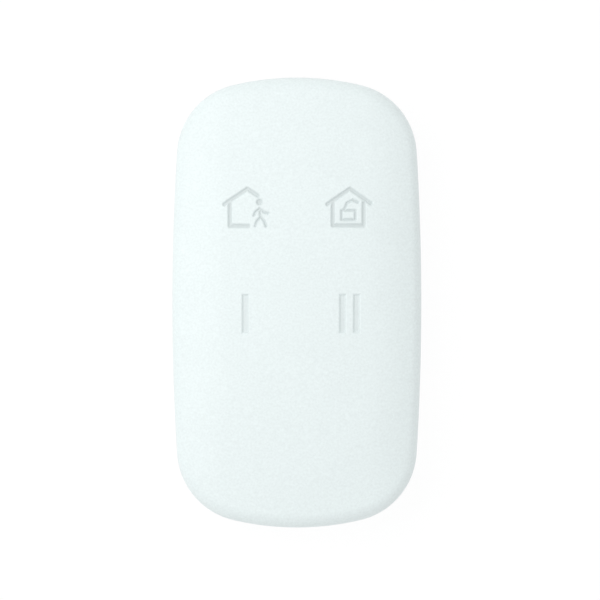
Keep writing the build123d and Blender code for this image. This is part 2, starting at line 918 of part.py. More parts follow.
with BuildPart() as battery_door:
    with BuildSketch(Plane(origin=(0, door_middle, 0))):
        Rectangle(2 * door_half, door_length)
    extrude(amount=door_thickness)
    fillet(battery_door.edges().filter_by(Axis.Z).group_by(Axis.Y)[-1], door_corner)
    add(rear_outside, mode=Mode.INTERSECT)
    with BuildSketch(Plane(origin=(0, tongue_middle, tongue_low))):
        Rectangle(2 * tongue_half, tongue_length)
    extrude(amount=tongue_thickness)
    with BuildSketch(Plane(origin=(0, detent_y, door_thickness))):
        Rectangle(detent_length, detent_width)
    extrude(amount=detent_height)
    with BuildSketch(Plane(origin=(0, cell_y, door_thickness - pad_recess))):
        Rectangle(pad_side + 2 * pad_clearance, pad_side + 2 * pad_clearance)
    extrude(amount=door_thickness, mode=Mode.SUBTRACT)
    with BuildSketch():
        with Locations(*grip_places):
            Rectangle(grip_length, grip_width)
        with BuildLine():
            Polyline(
                (-arrow_width / 2, arrow_low + arrow_length),
                (0, arrow_low),
                (arrow_width / 2, arrow_low + arrow_length),
                close=True,
            )
        make_face()
    extrude(amount=grip_depth, mode=Mode.SUBTRACT)
finish(battery_door, "battery_door")

with BuildPart() as door_pad:
    with BuildSketch(Plane(origin=(0, cell_y, door_thickness - pad_recess))):
        Rectangle(pad_side, pad_side)
    extrude(amount=pad_thickness)
finish(door_pad, "door_pad")

# Rear cover: shell, tray over the door, cell fence, posts, rib and strap notch

tray_half = tongue_half + tongue_gap + tray_wall
tray_end = door_top + door_side_gap + tray_wall
groove_top = tongue_top + tongue_gap
slot_end = door_top + door_side_gap
rib_length = 2 * key_x + switch_size + 2 * rib_margin
cavity = rear_form(side_wall, floor_thickness, split_height + cut_overrun)
rear_shell = rear_form(0, 0, split_height)
rebate_sheet = outline(lip_inset - lip_gap)
rebate_inner_sheet = outline(side_wall + lip_inner_gap)

with BuildPart() as cover_insides:
    with BuildSketch(Plane(origin=(0, (tray_end + door_bottom) / 2, 0))):
        Rectangle(2 * tray_half, tray_end - door_bottom)
    extrude(amount=tray_top)
    with BuildSketch():
        with Locations((0, cell_y)):
            Circle(fence_radius)
        with Locations(*screw_places):
            Circle(post_radius)
        with Locations((0, upper_key_y)):
            Rectangle(rib_length, rib_thickness)
    extrude(amount=board_low)
    with BuildSketch(Plane.YZ):
        with Locations((strap_y, strap_bar_height)):
            Circle(strap_housing_radius)
    extrude(amount=strap_housing_width / 2, both=True)
    add(rear_outside, mode=Mode.INTERSECT)

with BuildPart() as rear_cover:
    add(rear_shell)
    add(cavity, mode=Mode.SUBTRACT)
    add(cover_insides.part)
    with BuildSketch(Plane.XY.offset(lip_low - lip_end_gap)):
        add(rebate_sheet)
        add(rebate_inner_sheet, mode=Mode.SUBTRACT)
    extrude(amount=body_height, mode=Mode.SUBTRACT)
    with BuildSketch(Plane(origin=(0, (slot_end + door_bottom) / 2, 0))) as slot:
        Rectangle(2 * (door_half + door_side_gap), slot_end - door_bottom)
        fillet(slot.vertices().group_by(Axis.Y)[-1], door_corner + door_side_gap)
    extrude(amount=cell_low, mode=Mode.SUBTRACT)
    with BuildSketch(Plane(origin=(0, (groove_top + door_bottom) / 2, tongue_low - tongue_gap))):
        Rectangle(2 * (tongue_half + tongue_gap), groove_top - door_bottom)
    extrude(amount=tongue_thickness + 2 * tongue_gap, mode=Mode.SUBTRACT)
    with BuildSketch(Plane(origin=(0, detent_y, cell_low))):
        Rectangle(detent_length + 2 * door_side_gap, detent_width + 2 * door_side_gap)
    extrude(amount=detent_height, mode=Mode.SUBTRACT)
    with BuildSketch():
        with Locations((0, cell_y)):
            Circle(pocket_radius)
    extrude(amount=body_height, mode=Mode.SUBTRACT)
    with BuildSketch(Plane(origin=(clip_x + contact_foot / 2, cell_y, tray_top))):
        Rectangle(contact_foot + 2 * fence_wall, contact_width + 2 * contact_notch_gap)
    extrude(amount=body_height, mode=Mode.SUBTRACT)
    with BuildSketch():
        with Locations(*screw_places):
            Circle(head_radius + head_clearance)
    extrude(amount=head_seat, mode=Mode.SUBTRACT)
    with BuildSketch():
        with Locations(*screw_places):
            Circle(screw_radius + screw_clearance)
    extrude(amount=body_height, mode=Mode.SUBTRACT)
    with BuildSketch(Plane.XY.offset(head_seat + web_thickness)):
        with Locations(*screw_places):
            Circle(spigot_radius + spigot_gap)
    extrude(amount=body_height, mode=Mode.SUBTRACT)
    with BuildSketch(Plane.YZ):
        with Locations((strap_y, strap_bar_height)):
            Circle(strap_notch_radius)
    extrude(amount=strap_notch_width / 2, both=True, mode=Mode.SUBTRACT)
    with BuildSketch(Plane.YZ):
        with Locations((strap_y, strap_bar_height)):
            Circle(strap_bar_radius + strap_bar_clearance)
    extrude(amount=strap_notch_width / 2 + strap_bar_seat, both=True, mode=Mode.SUBTRACT)
finish(rear_cover, "rear_cover")

# Strap bar

with BuildPart() as strap_bar:
    with BuildSketch(Plane.YZ):
        with Locations((strap_y, strap_bar_height)):
            Circle(strap_bar_radius)
    extrude(amount=strap_notch_width / 2 + strap_bar_seat, both=True)
finish(strap_bar, "strap_bar")

# Case screws, driven from the rear

with BuildPart() as case_screws:
    with BuildSketch(Plane.XY.offset(head_seat)):
        with Locations(*screw_places):
            Circle(screw_radius)
    extrude(amount=screw_length)
    chamfer(case_screws.faces().group_by(Axis.Z)[-1].edges(), screw_tip_chamfer)
    with BuildSketch(Plane.XY.offset(head_seat - head_height)):
        with Locations(*screw_places):
            Circle(head_radius)
    extrude(amount=head_height)
    with BuildSketch(Plane.XY.offset(head_seat - head_height)):
        with Locations(*screw_places):
            Rectangle(head_recess_length, head_recess_width)
            Rectangle(head_recess_width, head_recess_length)
    extrude(amount=head_recess_depth, mode=Mode.SUBTRACT)
finish(case_screws, "case_screws")
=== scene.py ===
"""Looks of an alarm key fob: a seamless soft front over four press keys, and a finish for every piece.

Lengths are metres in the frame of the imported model: the fob lies on its back, +Z points out of the
front face, +Y to the strap end and +X to the right seen from the front.
"""

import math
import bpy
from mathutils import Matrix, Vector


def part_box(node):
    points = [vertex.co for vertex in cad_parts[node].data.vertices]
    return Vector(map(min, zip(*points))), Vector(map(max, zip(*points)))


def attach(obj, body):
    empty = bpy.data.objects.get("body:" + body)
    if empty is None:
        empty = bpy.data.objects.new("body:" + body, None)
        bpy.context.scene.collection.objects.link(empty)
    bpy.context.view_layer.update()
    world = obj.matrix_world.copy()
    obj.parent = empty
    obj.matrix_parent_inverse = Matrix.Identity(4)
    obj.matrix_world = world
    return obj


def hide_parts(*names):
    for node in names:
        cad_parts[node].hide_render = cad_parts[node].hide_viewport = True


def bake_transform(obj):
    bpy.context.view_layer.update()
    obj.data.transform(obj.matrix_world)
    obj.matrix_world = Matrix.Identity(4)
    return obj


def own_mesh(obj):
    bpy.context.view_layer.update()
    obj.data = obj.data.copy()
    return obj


bl_info = {
    "name": "Alarm Key Fob",
    "version": (1, 0, 0),
    "blender": (4, 5, 0),
    "location": "View3D > Sidebar > Fob",
    "description": "Builds the soft front, the finishes and the studio of an alarm key fob",
    "category": "Object",
}

import bpy
import numpy as np
from bpy.props import FloatProperty, FloatVectorProperty, PointerProperty

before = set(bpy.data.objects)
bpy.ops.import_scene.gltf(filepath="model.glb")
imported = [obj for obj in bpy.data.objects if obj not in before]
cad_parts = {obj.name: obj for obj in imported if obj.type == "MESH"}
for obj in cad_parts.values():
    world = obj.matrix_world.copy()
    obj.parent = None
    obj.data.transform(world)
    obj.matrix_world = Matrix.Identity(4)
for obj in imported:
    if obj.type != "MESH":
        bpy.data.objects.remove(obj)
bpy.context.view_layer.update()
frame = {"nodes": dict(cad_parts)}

MM = 0.001

# Tolerances, and how many samples, rows and lines the meshes have

WELD = 1e-7
STEP_SLACK = 1e-6
LEAST_LENGTH = 1e-12
TURN_SAMPLES = 2000
FLAT_ROWS = 15
ROLL_ROWS = 17
SIDE_ROWS = 7
HEM_ROWS = 6
STRIP_ROWS = 11
DOME_LINES = 25
PAD_LINES = 49

# The pad's swollen edge, the white of the floor and the camera's fixed numbers

PAD_EDGE = 0.6 * MM
PAD_FALL_SHARE = 0.4
PAPER_WHITE = 1.02
SENSOR_WIDTH = 36
CLIP_REACH = 100

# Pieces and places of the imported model

KEYS = ("away", "disarm", "first", "second")
SKIN_LOW, SKIN_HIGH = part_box("front_skin")
PAD_LOW, PAD_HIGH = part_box("door_pad")
CELL_LOW, CELL_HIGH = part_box("coin_cell_can")
ROW_Y = {key: (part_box(f"{key}_key")[0][1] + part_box(f"{key}_key")[1][1]) / 2 for key in KEYS}


# Sizes and colours that a user would change


class FobForm(bpy.types.PropertyGroup):
    """Outer form of the front."""

    width: FloatProperty(
        name="Width", description="Across the widest place", default=SKIN_HIGH[0] - SKIN_LOW[0], unit="LENGTH"
    )
    length: FloatProperty(name="Length", description="From end to end", default=65 * MM, unit="LENGTH")
    height: FloatProperty(
        name="Height", description="From the table to the crown", default=SKIN_HIGH[2], unit="LENGTH"
    )
    side_radius: FloatProperty(
        name="Side radius", description="Bulge of the long sides", default=360 * MM, unit="LENGTH"
    )
    end_radius: FloatProperty(
        name="End radius", description="Bulge of the ends", default=40 * MM, unit="LENGTH"
    )
    corner_radius: FloatProperty(
        name="Corner radius", description="Outline corners", default=10.5 * MM, unit="LENGTH"
    )
    crown_across: FloatProperty(
        name="Crown across", description="Crown radius across, in the middle", default=180 * MM, unit="LENGTH"
    )
    shoulder_start: FloatProperty(
        name="Shoulder start", description="From the middle out to the rounder shoulders",
        default=10 * MM, unit="LENGTH",
    )
    shoulder_radius: FloatProperty(
        name="Shoulder radius", description="Crown radius across, at the shoulders",
        default=20 * MM, unit="LENGTH",
    )
    crown_along: FloatProperty(
        name="Crown along", description="Crown radius along", default=400 * MM, unit="LENGTH"
    )
    rim_radius: FloatProperty(
        name="Rim radius", description="Round between side and crown", default=2.2 * MM, unit="LENGTH"
    )
    skin: FloatProperty(
        name="Skin thickness", description="Wall of the soft skin", default=0.6 * MM, unit="LENGTH"
    )
    hem_radius: FloatProperty(
        name="Hem radius", description="Round of the skin's lower edge", default=0.15 * MM, unit="LENGTH"
    )


class FobMarks(bpy.types.PropertyGroup):
    """Sunken marks over the keys."""

    pitch: FloatProperty(name="Pitch", description="From column to column", default=15 * MM, unit="LENGTH")
    shift: FloatProperty(
        name="Shift", description="Of both columns to the right", default=0.1 * MM, unit="LENGTH"
    )
    height: FloatProperty(name="Height", description="Height of a house", default=6 * MM, unit="LENGTH")
    stroke: FloatProperty(name="Stroke", description="Width of a line", default=0.6 * MM, unit="LENGTH")
    fine_share: FloatProperty(
        name="Fine share", description="Width of a fine line over that of a line", default=0.7
    )
    depth: FloatProperty(
        name="Depth", description="Depth under the skin's face", default=0.25 * MM, unit="LENGTH"
    )
    # Painted shade on the floors of the marks: full in the fine lines, about half in the wider bars.
    line_painted_shade: FloatProperty(name="Line tone", description="How far a line's floor darkens", default=1.0)
    bar_painted_shade: FloatProperty(name="Bar tone", description="How far a bar's wider floor darkens", default=0.48)
    wall: FloatProperty(
        name="Wall", description="Run of a mark's sloping wall", default=0.36 * MM, unit="LENGTH"
    )
    flare: FloatProperty(
        name="Flare", description="Share of the wall's run that lies outside a stroke", default=0.35
    )
    bar_length: FloatProperty(
        name="Bar length", description="Length of a bar", default=5.6 * MM, unit="LENGTH"
    )
    bar_width: FloatProperty(name="Bar width", description="Width of a bar", default=0.95 * MM, unit="LENGTH")
    bar_pitch: FloatProperty(name="Bar pitch", description="From bar to bar", default=2 * MM, unit="LENGTH")


class FobPress(bpy.types.PropertyGroup):
    """Where the skin gives over a pressed key."""

    margin: FloatProperty(
        name="Margin", description="From the key's flange in to the bend", default=1.28 * MM, unit="LENGTH"
    )
    bend: FloatProperty(
        name="Bend", description="Width of the bending strip", default=0.9 * MM, unit="LENGTH"
    )
    travel: FloatProperty(name="Travel", description="Of a key", default=0.25 * MM, unit="LENGTH")
    dome_sheet: FloatProperty(
        name="Dome sheet", description="Thickness of a snap dome", default=0.08 * MM, unit="LENGTH"
    )
    border: FloatProperty(
        name="Border", description="From the panels out to the rim's rows", default=1.2 * MM, unit="LENGTH"
    )
    coarse: FloatProperty(
        name="Coarse step", description="Mesh step of plain skin", default=0.6 * MM, unit="LENGTH"
    )
    fine: FloatProperty(name="Fine step", description="Mesh step in a mark", default=0.05 * MM, unit="LENGTH")


class FobColours(bpy.types.PropertyGroup):
    """Colours, as they are lit by plain white light."""

    skin: FloatVectorProperty(
        name="Skin", description="Soft front", subtype="COLOR", default=(0.845, 0.925, 0.925)
    )
    frame: FloatVectorProperty(
        name="Frame", description="Stiff front frame", subtype="COLOR", default=(0.78, 0.83, 0.83)
    )
    cover: FloatVectorProperty(
        name="Cover", description="Rear cover and door", subtype="COLOR", default=(0.80, 0.86, 0.86)
    )
    key: FloatVectorProperty(name="Keys", description="Keycaps", subtype="COLOR", default=(0.70, 0.73, 0.74))
    black: FloatVectorProperty(
        name="Black", description="Black mouldings", subtype="COLOR", default=(0.028, 0.028, 0.031)
    )
    board: FloatVectorProperty(
        name="Board", description="Solder mask", subtype="COLOR", default=(0.012, 0.105, 0.045)
    )
    steel: FloatVectorProperty(
        name="Steel", description="Bright steel", subtype="COLOR", default=(0.62, 0.62, 0.60)
    )
    copper: FloatVectorProperty(
        name="Copper", description="Enamelled wire", subtype="COLOR", default=(0.60, 0.24, 0.10)
    )
    tin: FloatVectorProperty(
        name="Tin", description="Soldered feet", subtype="COLOR", default=(0.72, 0.72, 0.70)
    )
    nickel: FloatVectorProperty(
        name="Nickel", description="Plated contacts", subtype="COLOR", default=(0.70, 0.66, 0.56)
    )
    amber: FloatVectorProperty(
        name="Amber", description="Bulk capacitor", subtype="COLOR", default=(0.50, 0.25, 0.03)
    )
    ceramic: FloatVectorProperty(
        name="Ceramic", description="Chip capacitors", subtype="COLOR", default=(0.34, 0.21, 0.11)
    )
    glaze: FloatVectorProperty(
        name="Glaze", description="Chip resistors", subtype="COLOR", default=(0.02, 0.02, 0.024)
    )
    resin: FloatVectorProperty(
        name="Resin", description="Status light", subtype="COLOR", default=(0.85, 0.84, 0.68)
    )
    clear: FloatVectorProperty(
        name="Clear", description="Light pipe", subtype="COLOR", default=(0.95, 0.97, 0.98)
    )
    seal: FloatVectorProperty(
        name="Seal", description="Coin cell's ring", subtype="COLOR", default=(0.06, 0.06, 0.065)
    )
    powder: FloatVectorProperty(
        name="Powder", description="Coin cell's cathode", subtype="COLOR", default=(0.02, 0.02, 0.02)
    )
    felt: FloatVectorProperty(
        name="Felt", description="Coin cell's separator", subtype="COLOR", default=(0.74, 0.74, 0.70)
    )
    foil: FloatVectorProperty(
        name="Foil", description="Coin cell's anode", subtype="COLOR", default=(0.5, 0.5, 0.51)
    )
    foam: FloatVectorProperty(
        name="Foam", description="Door pad", subtype="COLOR", default=(0.03, 0.03, 0.034)
    )


class FobStudio(bpy.types.PropertyGroup):
    """Camera and lamps."""

    view_height: FloatProperty(
        name="View height", description="Height of the picture at the outline's widest level",
        default=87.25 * MM, unit="LENGTH",
    )
    view_right: FloatProperty(
        name="View right", description="Camera's shift to the right", default=0.45 * MM, unit="LENGTH"
    )
    view_up: FloatProperty(
        name="View up", description="Camera's shift to the strap end", default=0.37 * MM, unit="LENGTH"
    )
    distance: FloatProperty(name="Distance", description="Camera over the fob", default=0.6, unit="LENGTH")
    ambient: FloatProperty(name="Ambient", description="Even light of the room", default=0.668)
    bounce: FloatProperty(name="Bounce", description="Even light from below", default=0.96)
    lamp_level: FloatProperty(
        name="Lamp level", description="Main lamp's light on a face turned to it", default=0.35
    )
    lamp_turn: FloatProperty(
        name="Lamp turn", description="From +Y towards -X", default=math.radians(64), subtype="ANGLE"
    )
    lamp_rise: FloatProperty(
        name="Lamp rise", description="Over the horizon", default=math.radians(61), subtype="ANGLE"
    )
    lamp_distance: FloatProperty(name="Lamp distance", description="From the fob", default=0.3, unit="LENGTH")
    lamp_size: FloatProperty(
        name="Lamp size", description="Across its round face", default=0.3, unit="LENGTH"
    )
    floor_glow: FloatProperty(name="Floor glow", description="Share of plain white in the floor", default=0.9)
    floor_drop: FloatProperty(
        name="Floor drop", description="Floor under the fob, so that their faces don't share a plane",
        default=0.03 * MM, unit="LENGTH",
    )
    floor_size: FloatProperty(name="Floor size", description="Side of the floor", default=4.0, unit="LENGTH")


# Surfaces


def vectors(x, y, z):
    """Points or directions from their three coordinates."""
    return np.stack(np.broadcast_arrays(x, y, z), axis=-1)


def unit(directions):
    """Each direction over its own length."""
    lengths = np.linalg.norm(directions, axis=-1, keepdims=True)
    return directions / np.maximum(lengths, LEAST_LENGTH)


class FrontForm:
    """Outer surface of the front: an outline of tangent arcs, a crown curved both ways and a rolled rim."""

    def __init__(self, form):
        self.height = form.height
        self.across = form.crown_across
        self.shoulder = form.shoulder_radius
        self.join = form.shoulder_start / form.crown_across
        self.along = form.crown_along
        self.rim = form.rim_radius
        side_centre = np.array([form.width / 2 - form.side_radius, 0.0])
        end_centre = np.array([0.0, form.length / 2 - form.end_radius])
        between = end_centre - side_centre
        span = np.hypot(*between)
        reach_side = form.side_radius - form.corner_radius
        reach_end = form.end_radius - form.corner_radius
        foot = (reach_side**2 - reach_end**2 + span**2) / (2 * span)
        rise = math.sqrt(reach_side**2 - foot**2)
        step = between / span
        corner_centre = side_centre + step * foot + np.array([-step[1], step[0]]) * rise
        low = math.atan2(*(corner_centre - side_centre)[::-1])
        high = math.atan2(*(corner_centre - end_centre)[::-1])
        self.centres = np.array([side_centre, corner_centre, end_centre])
        self.radii = np.array([form.side_radius, form.corner_radius, form.end_radius])
        self.joins = np.array([low, high])
        quarter = np.array([low, high, math.pi - high, math.pi - low])
        self.turns = np.concatenate([[0.0], quarter, quarter + math.pi, [2 * math.pi]])
        order = [0, 1, 2, 1, 0, 1, 2, 1, 0]
        self.lengths = np.concatenate([[0.0], np.cumsum(np.diff(self.turns) * self.radii[order])])

    def turn_at(self, length):
        """Direction of the outward normal at a length along the outline from its rightmost point."""
        return np.interp(length % self.lengths[-1], self.lengths, self.turns)

    def corner_length(self, x, y):
        """Length along the outline where it lies diagonally out from a point: x and y differ alike."""
        turns = np.linspace(0, math.pi / 2, TURN_SAMPLES)
        out_x, out_y = self.outline(turns, self.rim)
        turn = np.interp(0, (out_y - y) - (out_x - x), turns)
        return np.interp(turn, self.turns, self.lengths)

    def outline(self, turn, inset):
        """Outline point whose normal has this direction: its arc's centre plus the arc's radius that way."""
        cos, sin = np.cos(turn), np.sin(turn)
        arc = np.searchsorted(self.joins, np.arctan2(np.abs(sin), np.abs(cos)))
        reach = self.radii[arc] - inset
        x = np.sign(cos) * self.centres[arc, 0] + reach * cos
        y = np.sign(sin) * self.centres[arc, 1] + reach * sin
        return x, y

    def section(self, x, inset):
        """Fall and slope of the crown's cross-section at a place across.

        A flat arc lies in the middle and a rounder one at each side, tangent where they meet. Drawn in
        by an inset, both keep their centres.
        """
        middle, shoulder = self.across - inset, self.shoulder - inset
        between = self.across - self.shoulder
        out = np.abs(x)
        over = out > middle * self.join
        run = np.where(over, out - between * self.join, out)
        arc = np.sqrt(np.where(over, shoulder, middle) ** 2 - run**2)
        centre = np.where(over, between * math.sqrt(1 - self.join**2), 0)
        return middle - centre - arc, np.sign(x) * run / arc

    def crown(self, x, y, inset=0.0):
        """Height of the crown: its cross-section, carried along a larger arc lengthwise."""
        fall, _ = self.section(x, inset)
        return self.height - self.along + np.sqrt((self.along - inset - fall) ** 2 - y**2)

    def crown_normal(self, x, y, inset=0.0):
        """Unit normal of the crown, from the slopes of its height."""
        fall, slope = self.section(x, inset)
        reach = self.along - inset - fall
        drop = np.sqrt(reach**2 - y**2)
        return unit(vectors(slope * reach / drop, y / drop, 1.0))


def lines(stops, steps):
    """Grid lines through the stops, with about a given step between each pair of them."""
    parts = []
    for start, end, step in zip(stops, stops[1:], steps):
        count = max(1, math.ceil((end - start) / step - STEP_SLACK))
        parts.append(np.linspace(start, end, count + 1)[:-1])
    return np.concatenate([*parts, [stops[-1]]])


def grid_quads(rows, columns, wrap=False):
    """Quads of a grid of points stored row by row; wrap joins the last column to the first."""
    index = np.arange(rows * columns).reshape(rows, columns)
    if wrap:
        index = np.concatenate([index, index[:, :1]], axis=1)
    corners = (index[:-1, :-1], index[1:, :-1], index[1:, 1:], index[:-1, 1:])
    return np.stack([corner.ravel() for corner in corners], axis=1)


def welded(points, quads):
    """Which points to keep, and the quads on them: points that round to one place become one."""
    keys = np.round(points / WELD).astype(np.int64)
    _, first, place = np.unique(keys, axis=0, return_index=True, return_inverse=True)
    used, quads = np.unique(first[place.ravel()][quads], return_inverse=True)
    return used, quads.reshape(-1, 4)


def shell(name, outer, inner, normals, quads, material, painted_shade_share=None):
    """Closed wall: the outer surface, the inner one turned round, and a strip along every free edge."""
    used, quads = welded(outer, quads)
    outer, inner, normals = outer[used], inner[used], normals[used]
    count = len(outer)
    starts = quads.ravel()
    ends = np.roll(quads, -1, axis=1).ravel()
    free = ~np.isin(starts * count + ends, ends * count + starts)
    starts, ends = starts[free], ends[free]
    strips = np.stack([ends, starts, starts + count, ends + count], axis=1)
    points = np.concatenate([outer, inner])
    faces = np.concatenate([quads, quads[:, ::-1] + count, strips])
    near, along, _, across = (points[corner] for corner in strips.T)
    sides = unit(np.cross(along - near, across - near))
    corner_normals = np.concatenate(
        [normals[quads.ravel()], -normals[quads[:, ::-1].ravel()], np.repeat(sides, 4, axis=0)]
    )
    made = piece(name, points, faces, material, corner_normals)
    # Painted shade: the share by which a sunken mark's floor is painted darker, kept on the outer points.
    if painted_shade_share is not None:
        shares = made.data.attributes.new("painted_shade_share", "FLOAT", "POINT")
        shares.data.foreach_set("value", np.concatenate([painted_shade_share[used], np.zeros(count)]).astype(np.float32))
    return made


def piece(name, points, faces, material, corner_normals=None):
    """Object at the origin with its place in its mesh, smooth, of quads."""
    mesh = bpy.data.meshes.new(name)
    mesh.vertices.add(len(points))
    mesh.vertices.foreach_set("co", points.astype(np.float32).ravel())
    mesh.loops.add(faces.size)
    mesh.loops.foreach_set("vertex_index", faces.astype(np.int32).ravel())
    mesh.polygons.add(len(faces))
    mesh.polygons.foreach_set("loop_start", np.arange(0, faces.size, 4, dtype=np.int32))
    mesh.polygons.foreach_set("use_smooth", np.ones(len(faces), dtype=bool))
    mesh.update(calc_edges=True)
    if corner_normals is not None:
        mesh.normals_split_custom_set(corner_normals.astype(np.float32))
    mesh.materials.append(material)
    made = bpy.data.objects.new(name, mesh)
    bpy.context.scene.collection.objects.link(made)
    return made


# Sunken marks, in shares of a mark's height about its centre

ROOF_SHARES = [(-0.53, 0.09), (0.01, 0.46), (0.51, 0.11)]
WALL_SHARES = [(-0.4, 0.12), (-0.4, -0.42), (0.34, -0.42), (0.34, 0.12)]
OPEN_ROOF_SHARES = [(-0.5, 0.09), (0.05, 0.46), (0.3, 0.29)]
OPEN_WALL_SHARES = [(-0.37, 0.12), (-0.37, -0.43), (0.07, -0.43)]
LOCK_SHARES = [(-0.19, -0.28), (-0.19, -0.06), (0.14, -0.06), (0.14, -0.28), (-0.19, -0.28)]
SHACKLE_SHARES = [(-0.13, -0.06), (-0.06, 0.12), (0.08, 0.19), (0.2, 0.13)]
FIGURE_SHARES = [
    [(0.34, -0.02), (0.37, -0.22)],
    [(0.37, -0.22), (0.28, -0.32), (0.24, -0.43)],
    [(0.37, -0.22), (0.45, -0.31), (0.5, -0.44)],
    [(0.33, -0.03), (0.24, -0.1), (0.21, -0.18)],
    [(0.35, -0.03), (0.44, -0.1), (0.54, -0.13)],
]
HEAD_SHARES = (0.34, 0.14)
HEAD_RADIUS_SHARE = 0.08
WIDEST_SHARE = 0.55


def line_distance(x, y, way):
    """Distance to a chain of straight strokes: the least distance to any of them."""
    least = np.full(np.broadcast(x, y).shape, np.inf)
    for (x0, y0), (x1, y1) in zip(way, way[1:]):
        along = ((x - x0) * (x1 - x0) + (y - y0) * (y1 - y0)) / ((x1 - x0) ** 2 + (y1 - y0) ** 2)
        along = np.clip(along, 0, 1)
        least = np.minimum(least, np.hypot(x - x0 - along * (x1 - x0), y - y0 - along * (y1 - y0)))
    return least


def mark_depth(key, marks, x, y):
    """Depth of a key's mark: full inside its strokes, none outside, eased over the sloping wall."""
    size, half, fine = marks.height, marks.stroke / 2, marks.stroke * marks.fine_share / 2
    u, v = x / size, y / size
    if key == "away":
        edges = [half - size * line_distance(u, v, way) for way in (OPEN_ROOF_SHARES, OPEN_WALL_SHARES)]
        edges += [fine - size * line_distance(u, v, limb) for limb in FIGURE_SHARES]
        edges.append(size * (HEAD_RADIUS_SHARE - np.hypot(u - HEAD_SHARES[0], v - HEAD_SHARES[1])))
    elif key == "disarm":
        edges = [half - size * line_distance(u, v, way) for way in (ROOF_SHARES, WALL_SHARES)]
        edges += [fine - size * line_distance(u, v, way) for way in (LOCK_SHARES, SHACKLE_SHARES)]
    else:
        places = (0,) if key == "first" else (-marks.bar_pitch / 2, marks.bar_pitch / 2)
        edges = [
            np.minimum(marks.bar_width / 2 - np.abs(x - place), marks.bar_length / 2 - np.abs(y))
            for place in places
        ]
    inside = np.maximum.reduce([edge + np.zeros(np.broadcast(x, y).shape) for edge in edges])
    share = np.clip(inside / marks.wall + marks.flare, 0, 1)
    return marks.depth * share * share * (3 - 2 * share)


# Materials


class Wire:
    """A socket that takes part in sums: each operator adds a Math node."""

    def __init__(self, graph, socket):
        self.graph = graph
        self.socket = socket

    def join(self, operation, first, second):
        return self.graph.node("ShaderNodeMath", {"operation": operation}, {0: first, 1: second})

    def __add__(self, other):
        return self.join("ADD", self, other)

    def __radd__(self, other):
        return self.join("ADD", other, self)

    def __sub__(self, other):
        return self.join("SUBTRACT", self, other)

    def __rsub__(self, other):
        return self.join("SUBTRACT", other, self)

    def __mul__(self, other):
        return self.join("MULTIPLY", self, other)

    def __rmul__(self, other):
        return self.join("MULTIPLY", other, self)


class Graph:
    """Node tree of a material or of the world, emptied first."""

    def __init__(self, owner):
        owner.use_nodes = True
        self.tree = owner.node_tree
        self.tree.nodes.clear()

    def node(self, kind, settings=None, sockets=None, out=0):
        """Adds a node: its settings first, then the values or links of its sockets."""
        made = self.tree.nodes.new(kind)
        for name, value in (settings or {}).items():
            setattr(made, name, value)
        for name, value in (sockets or {}).items():
            self.feed(made.inputs[name], value)
        return Wire(self, made.outputs[out]) if made.outputs else None

    def feed(self, socket, value):
        """Links a wire to a socket, or sets the socket's own value."""
        if isinstance(value, Wire):
            self.tree.links.new(value.socket, socket)
        elif hasattr(value, "__len__") and len(value) == 3 and socket.type == "RGBA":
            socket.default_value = (*value, 1)
        else:
            socket.default_value = value

    def seen(self):
        """1 for rays from the camera and for reflected or refracted ones, else 0."""
        ways = ("Is Camera Ray", "Is Glossy Ray", "Is Transmission Ray")
        camera, glossy, through = (self.node("ShaderNodeLightPath", out=way) for way in ways)
        return camera + glossy + through


class Finish(Graph):
    """A material in the making: its shader, the object's own coordinates and the common patterns."""

    def __init__(self, name, **constants):
        self.material = bpy.data.materials.new(name)
        super().__init__(self.material)
        self.coordinates = self.node("ShaderNodeTexCoord", out="Object")
        self.shader = self.tree.nodes.new("ShaderNodeBsdfPrincipled")
        self.node("ShaderNodeOutputMaterial", None, {"Surface": Wire(self, self.shader.outputs[0])})
        for name, value in constants.items():
            self.shader.inputs[name.replace("_", " ")].default_value = value

    def vary(self, **sockets):
        """Feeds the shader's sockets with what changes over the surface."""
        for name, value in sockets.items():
            self.feed(self.shader.inputs[name.replace("_", " ")], value)

    def noise(self, size, detail=2.0, coordinates=None):
        """Cloudy value from 0 to 1 with features of a size."""
        return self.node(
            "ShaderNodeTexNoise",
            None,
            {"Vector": coordinates or self.coordinates, "Scale": 1 / size, "Detail": detail},
        )

    def cells(self, size, feature="F1"):
        """Distance in a pattern of cells of a size."""
        return self.node(
            "ShaderNodeTexVoronoi", {"feature": feature}, {"Vector": self.coordinates, "Scale": 1 / size}
        )

    def stretched(self, scale):
        """The object's coordinates, scaled by three factors."""
        return self.node("ShaderNodeMapping", None, {"Vector": self.coordinates, "Scale": scale})

    def mixed(self, share, first, second):
        """Colour between two, by a share."""
        return self.node("ShaderNodeMix", {"data_type": "RGBA"}, {0: share, 6: first, 7: second}, out=2)

    def bumped(self, height, depth):
        """Normal of a surface whose height, from 0 to 1, is worth a depth."""
        return self.node("ShaderNodeBump", None, {"Height": height, "Distance": depth, "Strength": 1.0})


def shade(colour, factor):
    """Colour times a factor."""
    return tuple(channel * factor for channel in colour)


def moulded(name, colour, roughness, grain, depth, mottle=0.03, **constants):
    """Moulded plastic: a spark-eroded grain, a faint cloudiness in colour and an uneven gloss."""
    pit_size, cloud_size = grain * 1.6, grain * 60
    finish = Finish(name, **constants)
    fine = finish.noise(grain, detail=3.0)
    pits = finish.cells(pit_size)
    cloud = finish.noise(cloud_size)
    finish.vary(
        Base_Color=finish.mixed(cloud, shade(colour, 1 - mottle), shade(colour, 1 + mottle / 2)),
        Roughness=roughness - 0.06 + fine * 0.08 + cloud * 0.04,
        Normal=finish.bumped(fine * 0.7 + pits * 0.3, depth),
    )
    return finish.material


